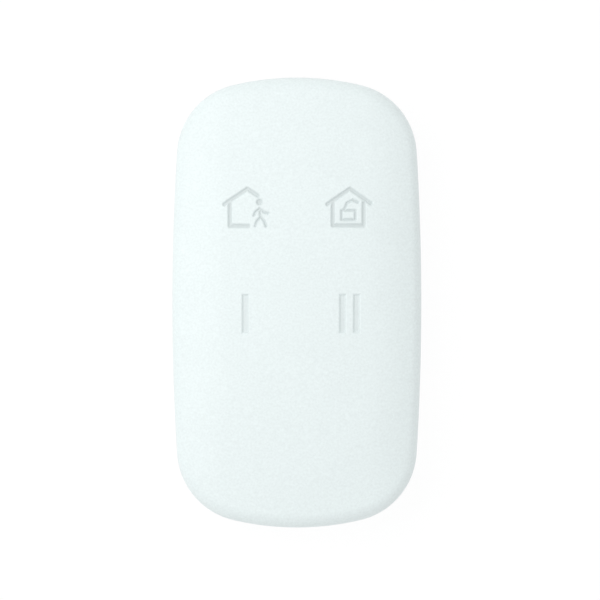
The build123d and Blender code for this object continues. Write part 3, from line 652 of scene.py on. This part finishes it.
def soft_touch(name, colour):
    """Soft-touch skin: a powdery grain over fine ripples, and painted shade on the floors of sunken marks."""
    dark, pale, painted_shade_colour = shade(colour, 0.9), shade(colour, 1.09), shade(colour, 0.8)
    finish = Finish(name, Specular_IOR_Level=0.5)
    grain = finish.noise(0.11 * MM)
    ripple = finish.noise(0.32 * MM, detail=1.0)
    cloud = finish.noise(7 * MM, detail=3.0)
    # Painted shade: the floor of each sunken mark is painted darker, by the share kept on the skin's points.
    painted_shade_share = finish.node("ShaderNodeAttribute", {"attribute_name": "painted_shade_share"}, out="Fac")
    face = finish.mixed(cloud * 0.2 + ripple * 0.8, dark, pale)
    finish.vary(
        Base_Color=finish.mixed(painted_shade_share, face, painted_shade_colour),
        Roughness=0.38 + grain * 0.1 + cloud * 0.05,
        Normal=finish.bumped(grain * 0.3 + ripple * 0.7, depth=0.03 * MM),
    )
    return finish.material


def sheet_metal(name, colour, roughness, streak, across=0, **constants):
    """Rolled or drawn metal: fine streaks drawn out along one axis, and a cloud of wear."""
    drawn_out = 0.05
    finish = Finish(name, Metallic=1.0, **constants)
    factors = [1.0, 1.0, 1.0]
    factors[across] = drawn_out
    streaks = finish.noise(streak, detail=3.0, coordinates=finish.stretched(factors))
    cloud = finish.noise(2.5 * MM, detail=4.0)
    finish.vary(
        Base_Color=finish.mixed(cloud, shade(colour, 0.9), shade(colour, 1.06)),
        Roughness=roughness - 0.06 + streaks * 0.12 + cloud * 0.06,
        Normal=finish.bumped(streaks, depth=0.002 * MM),
    )
    return finish.material


def solder_mask(name, colour):
    """Circuit board: tracks under a green mask, seen as paler lines, and the weave of the laminate."""
    tile = 6 * MM
    finish = Finish(name, Specular_IOR_Level=0.6)
    tracks = finish.node(
        "ShaderNodeTexBrick",
        {"offset": 0.37, "squash": 0.6},
        {
            "Vector": finish.coordinates,
            "Scale": 1 / tile,
            "Mortar Size": 0.035,
            "Mortar Smooth": 0.1,
            "Brick Width": 0.55,
            "Row Height": 0.2,
        },
        out="Fac",
    )
    weave = finish.noise(0.5 * MM, detail=1.0, coordinates=finish.stretched((1.0, 0.2, 1.0)))
    finish.vary(
        Base_Color=finish.mixed(tracks * 0.8 + weave * 0.2, colour, shade(colour, 1.9)),
        Roughness=0.32 + weave * 0.1,
        Normal=finish.bumped(tracks, depth=0.02 * MM),
    )
    return finish.material


def lathe_turned(name, colour, roughness):
    """Pressed cell steel: fine rings about the cell's axis, a satin cloud and hair scratches."""
    ring_size = 1.4 * MM
    finish = Finish(name, Metallic=1.0)
    centre = (CELL_LOW + CELL_HIGH) / 2
    about = finish.node(
        "ShaderNodeMapping", None, {"Vector": finish.coordinates, "Location": (-centre[0], -centre[1], 0)}
    )
    rings = finish.node(
        "ShaderNodeTexWave",
        {"wave_type": "RINGS", "rings_direction": "Z", "wave_profile": "SIN"},
        {"Vector": about, "Scale": 1 / ring_size, "Distortion": 0.6, "Detail": 2.0},
    )
    scratch = finish.noise(0.5 * MM, detail=4.0, coordinates=finish.stretched((0.08, 1.0, 1.0)))
    cloud = finish.noise(3 * MM, detail=3.0)
    finish.vary(
        Base_Color=finish.mixed(cloud, shade(colour, 0.92), shade(colour, 1.05)),
        Roughness=roughness - 0.05 + rings * 0.05 + scratch * 0.1,
        Normal=finish.bumped(rings * 0.5 + scratch * 0.5, depth=0.0006 * MM),
    )
    return finish.material


def foam(name, colour):
    """Closed-cell foam: open half-bubbles on a cut face, each painted darker towards its hollow as painted
    shade.
    """
    finish = Finish(name, Specular_IOR_Level=0.2)
    bubbles = finish.cells(0.22 * MM)
    cloud = finish.noise(1.5 * MM)
    finish.vary(
        # Painted shade: each bubble is painted darker towards its hollow middle and paler towards its rim.
        Base_Color=finish.mixed(bubbles, shade(colour, 0.55), shade(colour, 1.2)),
        Roughness=0.85 + cloud * 0.1,
        Normal=finish.bumped(bubbles, depth=0.05 * MM),
    )
    return finish.material


def clear_plastic(name, colour):
    """Clear moulding: see-through, with a gloss that clouds over in places."""
    finish = Finish(name, Transmission_Weight=1.0, IOR=1.49, Base_Color=(*colour, 1))
    cloud = finish.noise(0.3 * MM)
    finish.vary(Roughness=0.08 + cloud * 0.1)
    return finish.material


def dress(material, *nodes):
    """Gives CAD nodes a material."""
    for node in nodes:
        for slot in frame["nodes"][node].material_slots:
            slot.material = material


# Operators, one for each piece or group of like pieces


class FOB_OT_soft_front(bpy.types.Operator):
    """Builds the seamless soft skin, with a panel over each key that gives when the key is pressed"""

    bl_idname = "fob.soft_front"
    bl_label = "Soft front"

    def execute(self, context):
        scene = context.scene
        form, marks, press = scene.fob_form, scene.fob_marks, scene.fob_press
        front = FrontForm(form)
        material = soft_touch("soft_skin", scene.fob_colours.skin)
        pieces = []
        panels = {}
        for key in KEYS:
            low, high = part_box(f"{key}_key")
            panels[key] = (
                low[0] + press.margin,
                high[0] - press.margin,
                low[1] + press.margin,
                high[1] - press.margin,
            )
        pieces.append(self.surround(front, form, press, panels, material))
        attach(pieces[0], "case")
        for key, panel in panels.items():
            body = f"{key}_button"
            middle = self.panel(front, form, marks, press, key, panel, material)
            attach(middle, body)
            pieces.append(middle)
            for side, strip, start, end in self.strips(front, form, press, panel, key, material):
                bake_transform(strip)
                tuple(start)
                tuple(end)
                pieces.append(strip)
        for made in pieces:
            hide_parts("front_skin")
        return {"FINISHED"}

    def surround(self, front, form, press, panels, material):
        """Crown with four openings, then rows out to the rim, round it, down the side and under the hem."""
        left = min(panel[0] for panel in panels.values())
        right = max(panel[1] for panel in panels.values())
        bottom = min(panel[2] for panel in panels.values())
        top = max(panel[3] for panel in panels.values())
        inner_x = sorted({edge for panel in panels.values() for edge in panel[:2]})
        inner_y = sorted({edge for panel in panels.values() for edge in panel[2:]})
        stops_x = [left - press.border, *inner_x, right + press.border]
        stops_y = [bottom - (top + press.border + bottom), *inner_y, top + press.border]
        xs = lines(stops_x, [press.coarse] * (len(stops_x) - 1))
        ys = lines(stops_y, [press.coarse] * (len(stops_y) - 1))
        x, y = np.meshgrid(xs, ys, indexing="ij")
        quads = grid_quads(len(xs), len(ys))
        middle_x = x.ravel()[quads].mean(axis=1)
        middle_y = y.ravel()[quads].mean(axis=1)
        open_cells = np.zeros(len(quads), dtype=bool)
        for x0, x1, y0, y1 in panels.values():
            open_cells |= (middle_x > x0) & (middle_x < x1) & (middle_y > y0) & (middle_y < y1)
        crown = vectors(x, y, front.crown(x, y)).reshape(-1, 3)
        crown_normals = front.crown_normal(x, y).reshape(-1, 3)
        crown_inner = crown - crown_normals * form.skin
        rim, rim_inner, rim_normals = self.rim_rows(front, form, xs, ys)
        rows, columns = rim.shape[:2]
        ring_quads = grid_quads(rows, columns, wrap=True) + len(crown)
        return shell(
            "soft_skin_surround",
            np.concatenate([crown, rim.reshape(-1, 3)]),
            np.concatenate([crown_inner, rim_inner.reshape(-1, 3)]),
            np.concatenate([crown_normals, rim_normals.reshape(-1, 3)]),
            np.concatenate([quads[~open_cells], ring_quads]),
            material,
        )

    def rim_rows(self, front, form, xs, ys):
        """Rows from the middle grid's border to the hem, in columns that go once round the fob.

        Each column joins a border point to the outline point at the same share of the way between two
        corners. Its rows run straight out over the crown, then round a ball of the rim's radius that
        touches crown and side, straight down, and round the hem.
        """
        spans = (xs[-1] - xs[0], ys[-1] - ys[0])
        tall, wide = np.ones(len(ys) - 1), np.ones(len(xs) - 1)
        border_x = np.concatenate([tall * xs[-1], xs[:0:-1], tall * xs[0], xs[:-1]])
        border_y = np.concatenate([ys[:-1], wide * ys[-1], ys[:0:-1], wide * ys[0]])
        corner = front.corner_length(xs[-1], ys[-1])
        half = front.lengths[-1] / 2
        share_y = (ys[:-1] - ys[0]) / spans[1]
        share_x = (xs[-1] - xs[:0:-1]) / spans[0]
        lengths = np.concatenate(
            [
                -corner + 2 * corner * share_y,
                corner + (half - 2 * corner) * share_x,
                half - corner + 2 * corner * share_y,
                half + corner + (half - 2 * corner) * share_x,
            ]
        )
        turn = front.turn_at(lengths)
        outward = vectors(np.cos(turn), np.sin(turn), 0.0)
        ball_x, ball_y = front.outline(turn, front.rim)
        ball = vectors(ball_x, ball_y, front.crown(ball_x, ball_y, front.rim))
        upward = front.crown_normal(ball_x, ball_y, front.rim)
        foot = ball + upward * front.rim
        out = np.linspace(0, 1, FLAT_ROWS)[:, None]
        flat_x = border_x + (foot[:, 0] - border_x) * out
        flat_y = border_y + (foot[:, 1] - border_y) * out
        flat = vectors(flat_x, flat_y, front.crown(flat_x, flat_y))
        flat_normals = front.crown_normal(flat_x, flat_y)
        between = np.arccos(np.sum(upward * outward, axis=-1))
        roll = np.linspace(0, 1, ROLL_ROWS)[1:, None, None]
        angle = between[None, :, None]
        round_normals = (np.sin((1 - roll) * angle) * upward + np.sin(roll * angle) * outward) / np.sin(angle)
        rounded = ball + front.rim * round_normals
        low = SKIN_LOW[2] + form.hem_radius
        side_x, side_y = front.outline(turn, 0.0)
        down = np.linspace(0, 1, SIDE_ROWS)[1:, None]
        side_z = ball[:, 2] + (low - ball[:, 2]) * down
        side = vectors(side_x, side_y, side_z)
        side_normals = np.broadcast_to(outward, side.shape)
        tuck = np.linspace(0, math.pi / 2, HEM_ROWS)[1:, None, None]
        below = np.array([0.0, 0.0, -1.0])
        hem_normals = np.cos(tuck) * outward + np.sin(tuck) * below
        hem_centre = vectors(side_x, side_y, low) - outward * form.hem_radius
        hem = hem_centre + form.hem_radius * hem_normals
        wall = vectors(side_x, side_y, 0.0) - outward * form.skin
        hem_inner = np.broadcast_to(wall, hem.shape) + hem * np.array([0.0, 0.0, 1.0])
        outer = np.concatenate([flat, rounded, side])
        normals = np.concatenate([flat_normals, round_normals, side_normals])
        inner = np.concatenate([outer - normals * form.skin, hem_inner])
        return np.concatenate([outer, hem]), inner, np.concatenate([normals, hem_normals])

    def panel(self, front, form, marks, press, key, panel, material):
        """Crown over a key with its sunken mark, on grid lines that crowd together in the mark.

        A point sinks along the crown's normal by the mark's depth, and its own normal is the crown's
        plus the depth's two slopes.
        """
        x0, y0 = panel[0] + press.bend, panel[2] + press.bend
        x1, y1 = panel[1] - press.bend, panel[3] - press.bend
        side = math.copysign(1, x0)
        centre_x, centre_y = side * marks.pitch / 2 + marks.shift, ROW_Y[key]
        reach_x = {"first": marks.bar_width / 2, "second": (marks.bar_pitch + marks.bar_width) / 2}
        reach = reach_x.get(key, marks.height * WIDEST_SHARE + marks.stroke / 2) + marks.wall
        rise = marks.height / 2 + marks.stroke / 2 + marks.wall
        stops_x = [x0, max(centre_x - reach, x0), min(centre_x + reach, x1), x1]
        stops_y = [y0, centre_y - rise, centre_y + rise, y1]
        steps = [press.coarse, press.fine, press.coarse]
        xs = np.unique(lines(stops_x, steps))
        ys = np.unique(lines(stops_y, steps))
        x, y = np.meshgrid(xs, ys, indexing="ij")
        crown_normals = front.crown_normal(x, y)
        face = vectors(x, y, front.crown(x, y))
        depth = mark_depth(key, marks, x - centre_x, y - centre_y)
        # Painted shade: the mark's floor is painted darker by this share, less so in the wider bars.
        tone = marks.line_painted_shade if key in ("away", "disarm") else marks.bar_painted_shade
        slope_x, slope_y = np.gradient(depth, xs, ys)
        normals = unit(crown_normals + vectors(slope_x, slope_y, 0.0))
        return shell(
            f"soft_skin_over_{key}_key",
            (face - crown_normals * depth[..., None]).reshape(-1, 3),
            (face - crown_normals * form.skin).reshape(-1, 3),
            normals.reshape(-1, 3),
            grid_quads(len(xs), len(ys)),
            material,
            (depth / marks.depth * tone).ravel(),
        )

    def strips(self, front, form, press, panel, key, material):
        """Four mitred strips round a panel, each from the still skin to the skin that moves with the key."""
        x0, x1, y0, y1 = panel
        middle_x, middle_y = (x0 + x1) / 2, (y0 + y1) / 2
        height = front.crown(middle_x, middle_y)
        bend = press.bend
        in_share = np.linspace(0, 1, STRIP_ROWS)
        sides = {
            "right": ((x1, y0), (x1, y1), (-1, 0)),
            "top": ((x1, y1), (x0, y1), (0, -1)),
            "left": ((x0, y1), (x0, y0), (1, 0)),
            "bottom": ((x0, y0), (x1, y0), (0, 1)),
        }
        for side, (start, end, inward) in sides.items():
            start, end, inward = np.array(start), np.array(end), np.array(inward)
            run = end - start
            span = np.abs(run).max()
            along = lines([0, span], [press.coarse]) / span
            way = run / span
            first = start + (inward + way) * bend
            last = end + (inward - way) * bend
            outer_edge = start + run * along[:, None]
            inner_edge = first + (last - first) * along[:, None]
            xy = outer_edge[None] + (inner_edge - outer_edge)[None] * in_share[:, None, None]
            x, y = xy[..., 0][::-1], xy[..., 1][::-1]
            normals = front.crown_normal(x, y)
            face = vectors(x, y, front.crown(x, y))
            strip = shell(
                f"soft_skin_{key}_{side}",
                face.reshape(-1, 3),
                (face - normals * form.skin).reshape(-1, 3),
                normals.reshape(-1, 3),
                grid_quads(len(in_share), len(along)),
                material,
            )
            from_place = start + run / 2
            to_place = from_place + inward * bend
            yield side, strip, (*from_place, height), (*to_place, height)


class FOB_OT_door_pad(bpy.types.Operator):
    """Builds the foam pad inside the battery door"""

    bl_idname = "fob.door_pad"
    bl_label = "Door pad"

    def execute(self, context):
        """A slab whose cut edges swell a little: its face drops near the border by a quarter circle."""
        x = np.linspace(PAD_LOW[0], PAD_HIGH[0], PAD_LINES)
        y = np.linspace(PAD_LOW[1], PAD_HIGH[1], PAD_LINES)
        x, y = np.meshgrid(x, y, indexing="ij")
        thickness = PAD_HIGH[2] - PAD_LOW[2]
        to_side = np.minimum(x - PAD_LOW[0], PAD_HIGH[0] - x)
        to_end = np.minimum(y - PAD_LOW[1], PAD_HIGH[1] - y)
        inside = np.clip(np.minimum(to_side, to_end) / PAD_EDGE, 0, 1)
        fall = 1 - np.sqrt(1 - (1 - inside) ** 2)
        face = vectors(x, y, PAD_HIGH[2] - PAD_FALL_SHARE * thickness * fall)
        base = vectors(x, y, PAD_LOW[2])
        slope_x, slope_y = np.gradient(face[..., 2], x[:, 0], y[0])
        normals = unit(vectors(-slope_x, -slope_y, 1.0))
        pad = shell(
            "door_pad_foam",
            face.reshape(-1, 3),
            base.reshape(-1, 3),
            normals.reshape(-1, 3),
            grid_quads(*x.shape),
            foam("pad_foam", context.scene.fob_colours.foam),
        )
        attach(pad, "door")
        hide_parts("door_pad")
        return {"FINISHED"}


class FOB_OT_snap_domes(bpy.types.Operator):
    """Builds the four snap domes"""

    bl_idname = "fob.snap_domes"
    bl_label = "Snap domes"

    def execute(self, context):
        """Round sheet caps of two concentric spheres; a square grid is drawn out to a disc to mesh them."""
        colour = context.scene.fob_colours.steel
        steel = sheet_metal("dome_steel", colour, roughness=0.24, streak=0.12 * MM)
        press = context.scene.fob_press
        side = np.linspace(-1, 1, DOME_LINES)
        u, v = np.meshgrid(side, side, indexing="ij")
        disc_x, disc_y = u * np.sqrt(1 - v**2 / 2), v * np.sqrt(1 - u**2 / 2)
        for key in KEYS:
            low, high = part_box(f"{key}_dome")
            middle = (low + high) / 2
            radius = (high[0] - low[0]) / 2
            rise = high[2] - low[2]
            curve = (radius**2 + rise**2) / (2 * rise)
            drop = curve - rise
            inner_curve = curve - press.dome_sheet
            inner_radius = math.sqrt(inner_curve**2 - drop**2)
            surfaces = []
            for reach, ball in ((radius, curve), (inner_radius, inner_curve)):
                x, y = disc_x * reach, disc_y * reach
                z = np.sqrt(ball**2 - x**2 - y**2) - drop
                surfaces.append(vectors(middle[0] + x, middle[1] + y, low[2] + z).reshape(-1, 3))
            ball_centre = np.array([middle[0], middle[1], low[2] - drop])
            normals = (surfaces[0] - ball_centre) / curve
            dome = shell(f"{key}_snap_dome", *surfaces, normals, grid_quads(*u.shape), steel)
            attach(dome, "case")
            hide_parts(f"{key}_dome")
            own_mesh(dome)
        return {"FINISHED"}


class FOB_OT_case_finish(bpy.types.Operator):
    """Finishes the frame, the rear cover, the door, the strap bar and the screws"""

    bl_idname = "fob.case_finish"
    bl_label = "Case finish"

    def execute(self, context):
        colours = context.scene.fob_colours
        dress(
            moulded("frame_plastic", colours.frame, roughness=0.42, grain=0.12 * MM, depth=0.004 * MM),
            "front_frame",
        )
        dress(
            moulded(
                "cover_plastic", colours.cover, roughness=0.52, grain=0.16 * MM, depth=0.012 * MM, mottle=0.02
            ),
            "rear_cover",
            "battery_door",
        )
        dress(sheet_metal("bar_steel", colours.steel, roughness=0.3, streak=0.3 * MM), "strap_bar")
        dress(
            sheet_metal("screw_steel", shade(colours.steel, 0.55), roughness=0.38, streak=0.25 * MM),
            "case_screws",
        )
        return {"FINISHED"}


class FOB_OT_key_finish(bpy.types.Operator):
    """Finishes the keycaps, the stems and the switches"""

    bl_idname = "fob.key_finish"
    bl_label = "Key and switch finish"

    def execute(self, context):
        colours = context.scene.fob_colours
        dress(
            moulded("key_plastic", colours.key, roughness=0.45, grain=0.14 * MM, depth=0.006 * MM),
            *(f"{key}_key" for key in KEYS),
        )
        dress(
            moulded("stem_plastic", colours.black, roughness=0.36, grain=0.1 * MM, depth=0.003 * MM),
            *(f"{key}_stem" for key in KEYS),
        )
        dress(
            moulded(
                "switch_plastic", shade(colours.black, 0.8), roughness=0.5, grain=0.08 * MM, depth=0.003 * MM
            ),
            "switch_bases",
        )
        dress(
            sheet_metal("switch_steel", colours.steel, roughness=0.34, streak=0.2 * MM, across=1),
            "switch_covers",
        )
        dress(
            sheet_metal("terminal_metal", colours.tin, roughness=0.28, streak=0.15 * MM),
            "switch_terminals",
        )
        return {"FINISHED"}


class FOB_OT_board_finish(bpy.types.Operator):
    """Finishes the circuit board and everything soldered to it"""

    bl_idname = "fob.board_finish"
    bl_label = "Board finish"

    def execute(self, context):
        colours = context.scene.fob_colours
        gloss_coat = {"Coat_Weight": 0.5, "Coat_Roughness": 0.1}
        varnish = {"Coat_Weight": 0.8, "Coat_Roughness": 0.05}
        dress(solder_mask("board_laminate", colours.board), "circuit_board")
        dress(
            moulded(
                "chip_body", shade(colours.black, 0.7), roughness=0.55, grain=0.05 * MM, depth=0.003 * MM
            ),
            "radio_chip",
        )
        dress(sheet_metal("crystal_can", colours.steel, roughness=0.22, streak=0.2 * MM, across=1), "crystal")
        dress(
            moulded("tantalum_body", colours.amber, roughness=0.42, grain=0.07 * MM, depth=0.003 * MM),
            "bulk_capacitor",
        )
        dress(
            moulded("capacitor_ceramic", colours.ceramic, roughness=0.5, grain=0.05 * MM, depth=0.002 * MM),
            "chip_capacitors",
        )
        dress(
            moulded("resistor_ceramic", colours.glaze, roughness=0.3, grain=0.05 * MM, depth=0.002 * MM),
            "chip_resistors",
        )
        dress(
            moulded(
                "led_resin", colours.resin, roughness=0.2, grain=0.06 * MM, depth=0.002 * MM, **gloss_coat
            ),
            "status_led",
        )
        dress(clear_plastic("pipe_clear", colours.clear), "light_pipe")
        dress(
            sheet_metal("antenna_copper", colours.copper, roughness=0.2, streak=0.3 * MM, **varnish),
            "antenna_coil",
        )
        dress(
            sheet_metal("contact_metal", colours.nickel, roughness=0.26, streak=0.25 * MM, across=1),
            "negative_contact",
            "positive_contact",
        )
        return {"FINISHED"}


class FOB_OT_cell_finish(bpy.types.Operator):
    """Finishes the coin cell, outside and inside"""

    bl_idname = "fob.cell_finish"
    bl_label = "Coin cell finish"

    def execute(self, context):
        colours = context.scene.fob_colours
        dress(
            lathe_turned("cell_steel", shade(colours.steel, 1.1), roughness=0.26),
            "coin_cell_can",
            "coin_cell_cap",
        )
        dress(
            moulded("seal_plastic", colours.seal, roughness=0.5, grain=0.08 * MM, depth=0.003 * MM),
            "coin_cell_seal",
        )
        dress(
            moulded("cathode_mix", colours.powder, roughness=0.8, grain=0.1 * MM, depth=0.02 * MM),
            "cell_cathode",
        )
        dress(
            moulded("separator_felt", colours.felt, roughness=0.9, grain=0.15 * MM, depth=0.02 * MM),
            "cell_separator",
        )
        dress(sheet_metal("anode_metal", colours.foil, roughness=0.45, streak=0.4 * MM), "cell_anode")
        return {"FINISHED"}


class FOB_OT_studio(bpy.types.Operator):
    """Builds the floor, the lamps, the room's even light and the camera"""

    bl_idname = "fob.studio"
    bl_label = "Studio"

    def execute(self, context):
        scene = context.scene
        studio = scene.fob_studio
        self.floor(studio)
        self.room(scene, studio)
        self.lamp(studio)
        self.camera(scene, studio)
        scene.view_settings.view_transform = "Standard"
        return {"FINISHED"}

    def floor(self, studio):
        """Flat floor that keeps the shadow over a share of plain white.

        Views from below look through it, and so does light, so the underside is lit by the room below.
        """
        half = studio.floor_size / 2
        points = np.array([(-half, -half), (half, -half), (half, half), (-half, half)])
        points = np.column_stack([points, np.full(len(points), -studio.floor_drop)])
        material = bpy.data.materials.new("studio_floor")
        graph = Graph(material)
        paper = graph.node("ShaderNodeBsdfDiffuse", None, {"Color": (1.0, 1.0, 1.0)})
        white = graph.node("ShaderNodeEmission", None, {"Color": (1.0, 1.0, 1.0), "Strength": PAPER_WHITE})
        clear = graph.node("ShaderNodeBsdfTransparent")
        below = graph.node("ShaderNodeNewGeometry", out="Backfacing")
        bounced = graph.node("ShaderNodeLightPath", out="Is Diffuse Ray")
        shadow = graph.node("ShaderNodeLightPath", out="Is Shadow Ray")
        open_share = graph.node(
            "ShaderNodeMath", {"operation": "ADD", "use_clamp": True}, {0: below, 1: bounced + shadow}
        )
        glow = graph.seen() * studio.floor_glow
        lit = graph.node("ShaderNodeMixShader", None, {0: glow, 1: paper, 2: white})
        surface = graph.node("ShaderNodeMixShader", None, {0: open_share, 1: lit, 2: clear})
        graph.node("ShaderNodeOutputMaterial", None, {"Surface": surface})
        piece("studio_floor", points, np.array([[0, 1, 2, 3]]), material)

    def room(self, scene, studio):
        """Even light from above and below, which the camera sees as plain white."""
        scene.world = scene.world or bpy.data.worlds.new("room")
        graph = Graph(scene.world)
        direction = graph.node("ShaderNodeTexCoord", out="Generated")
        up = graph.node("ShaderNodeSeparateXYZ", None, {0: direction}, out="Z")
        below = graph.node("ShaderNodeMath", {"operation": "LESS_THAN"}, {0: up, 1: 0.0})
        level = below * (studio.bounce - studio.ambient) + studio.ambient
        even = graph.node("ShaderNodeBackground", None, {"Color": (1.0, 1.0, 1.0), "Strength": level})
        white = graph.node("ShaderNodeBackground", None, {"Color": (1.0, 1.0, 1.0), "Strength": 1.0})
        camera = graph.node("ShaderNodeLightPath", out="Is Camera Ray")
        surface = graph.node("ShaderNodeMixShader", None, {0: camera, 1: even, 2: white})
        graph.node("ShaderNodeOutputWorld", None, {"Surface": surface})

    def lamp(self, studio):
        """One wide soft lamp, up and to the left, near enough for its light to fall off along the fob.

        Its power is its level times pi squared times the squared distance to its edge, so that a white
        face turned to it shows that level.
        """
        light = bpy.data.lights.new("main_lamp", "AREA")
        light.shape = "DISK"
        light.size = studio.lamp_size
        reach = studio.lamp_distance**2 + (studio.lamp_size / 2) ** 2
        light.energy = studio.lamp_level * math.pi**2 * reach
        lamp = bpy.data.objects.new("main_lamp", light)
        flat = studio.lamp_distance * math.cos(studio.lamp_rise)
        lamp.location = (
            -flat * math.sin(studio.lamp_turn),
            flat * math.cos(studio.lamp_turn),
            studio.lamp_distance * math.sin(studio.lamp_rise),
        )
        lamp.rotation_euler = (math.radians(-90) + studio.lamp_rise, 0, studio.lamp_turn)
        bpy.context.scene.collection.objects.link(lamp)

    def camera(self, scene, studio):
        """Looks straight down from far off; the lens spans the view height at the outline's level."""
        data = bpy.data.cameras.new("camera")
        level = SKIN_LOW[2]
        data.sensor_width = SENSOR_WIDTH
        data.lens = data.sensor_width * studio.distance / studio.view_height
        data.clip_start = studio.distance / CLIP_REACH
        data.clip_end = studio.distance * CLIP_REACH
        camera = bpy.data.objects.new("camera", data)
        camera.location = (studio.view_right, studio.view_up, level + studio.distance)
        scene.collection.objects.link(camera)
        scene.camera = camera


class FOB_PT_sidebar(bpy.types.Panel):
    """Lists the steps that build the fob's looks"""

    bl_idname = "FOB_PT_sidebar"
    bl_label = "Alarm key fob"
    bl_space_type = "VIEW_3D"
    bl_region_type = "UI"
    bl_category = "Fob"

    def draw(self, context):
        for step in STEPS:
            self.layout.operator(step.bl_idname)
        for name in GROUPS:
            box = self.layout.box()
            box.label(text=name.replace("fob_", "").capitalize())
            settings = getattr(context.scene, name)
            for field in settings.bl_rna.properties:
                if field.identifier not in ("rna_type", "name"):
                    box.prop(settings, field.identifier)


GROUPS = {
    "fob_form": FobForm,
    "fob_marks": FobMarks,
    "fob_press": FobPress,
    "fob_colours": FobColours,
    "fob_studio": FobStudio,
}
STEPS = (
    FOB_OT_soft_front,
    FOB_OT_door_pad,
    FOB_OT_snap_domes,
    FOB_OT_case_finish,
    FOB_OT_key_finish,
    FOB_OT_board_finish,
    FOB_OT_cell_finish,
    FOB_OT_studio,
)


def register():
    for group in GROUPS.values():
        bpy.utils.register_class(group)
    for step in STEPS:
        bpy.utils.register_class(step)
    bpy.utils.register_class(FOB_PT_sidebar)
    for name, group in GROUPS.items():
        setattr(bpy.types.Scene, name, PointerProperty(type=group))


def unregister():
    for name in GROUPS:
        delattr(bpy.types.Scene, name)
    bpy.utils.unregister_class(FOB_PT_sidebar)
    for step in reversed(STEPS):
        bpy.utils.unregister_class(step)
    for group in reversed(GROUPS.values()):
        bpy.utils.unregister_class(group)


def main():
    """Runs every step in order."""
    register()
    bpy.ops.fob.soft_front()
    bpy.ops.fob.door_pad()
    bpy.ops.fob.snap_domes()
    bpy.ops.fob.case_finish()
    bpy.ops.fob.key_finish()
    bpy.ops.fob.board_finish()
    bpy.ops.fob.cell_finish()
    bpy.ops.fob.studio()


if __name__ == "__main__":
    main()
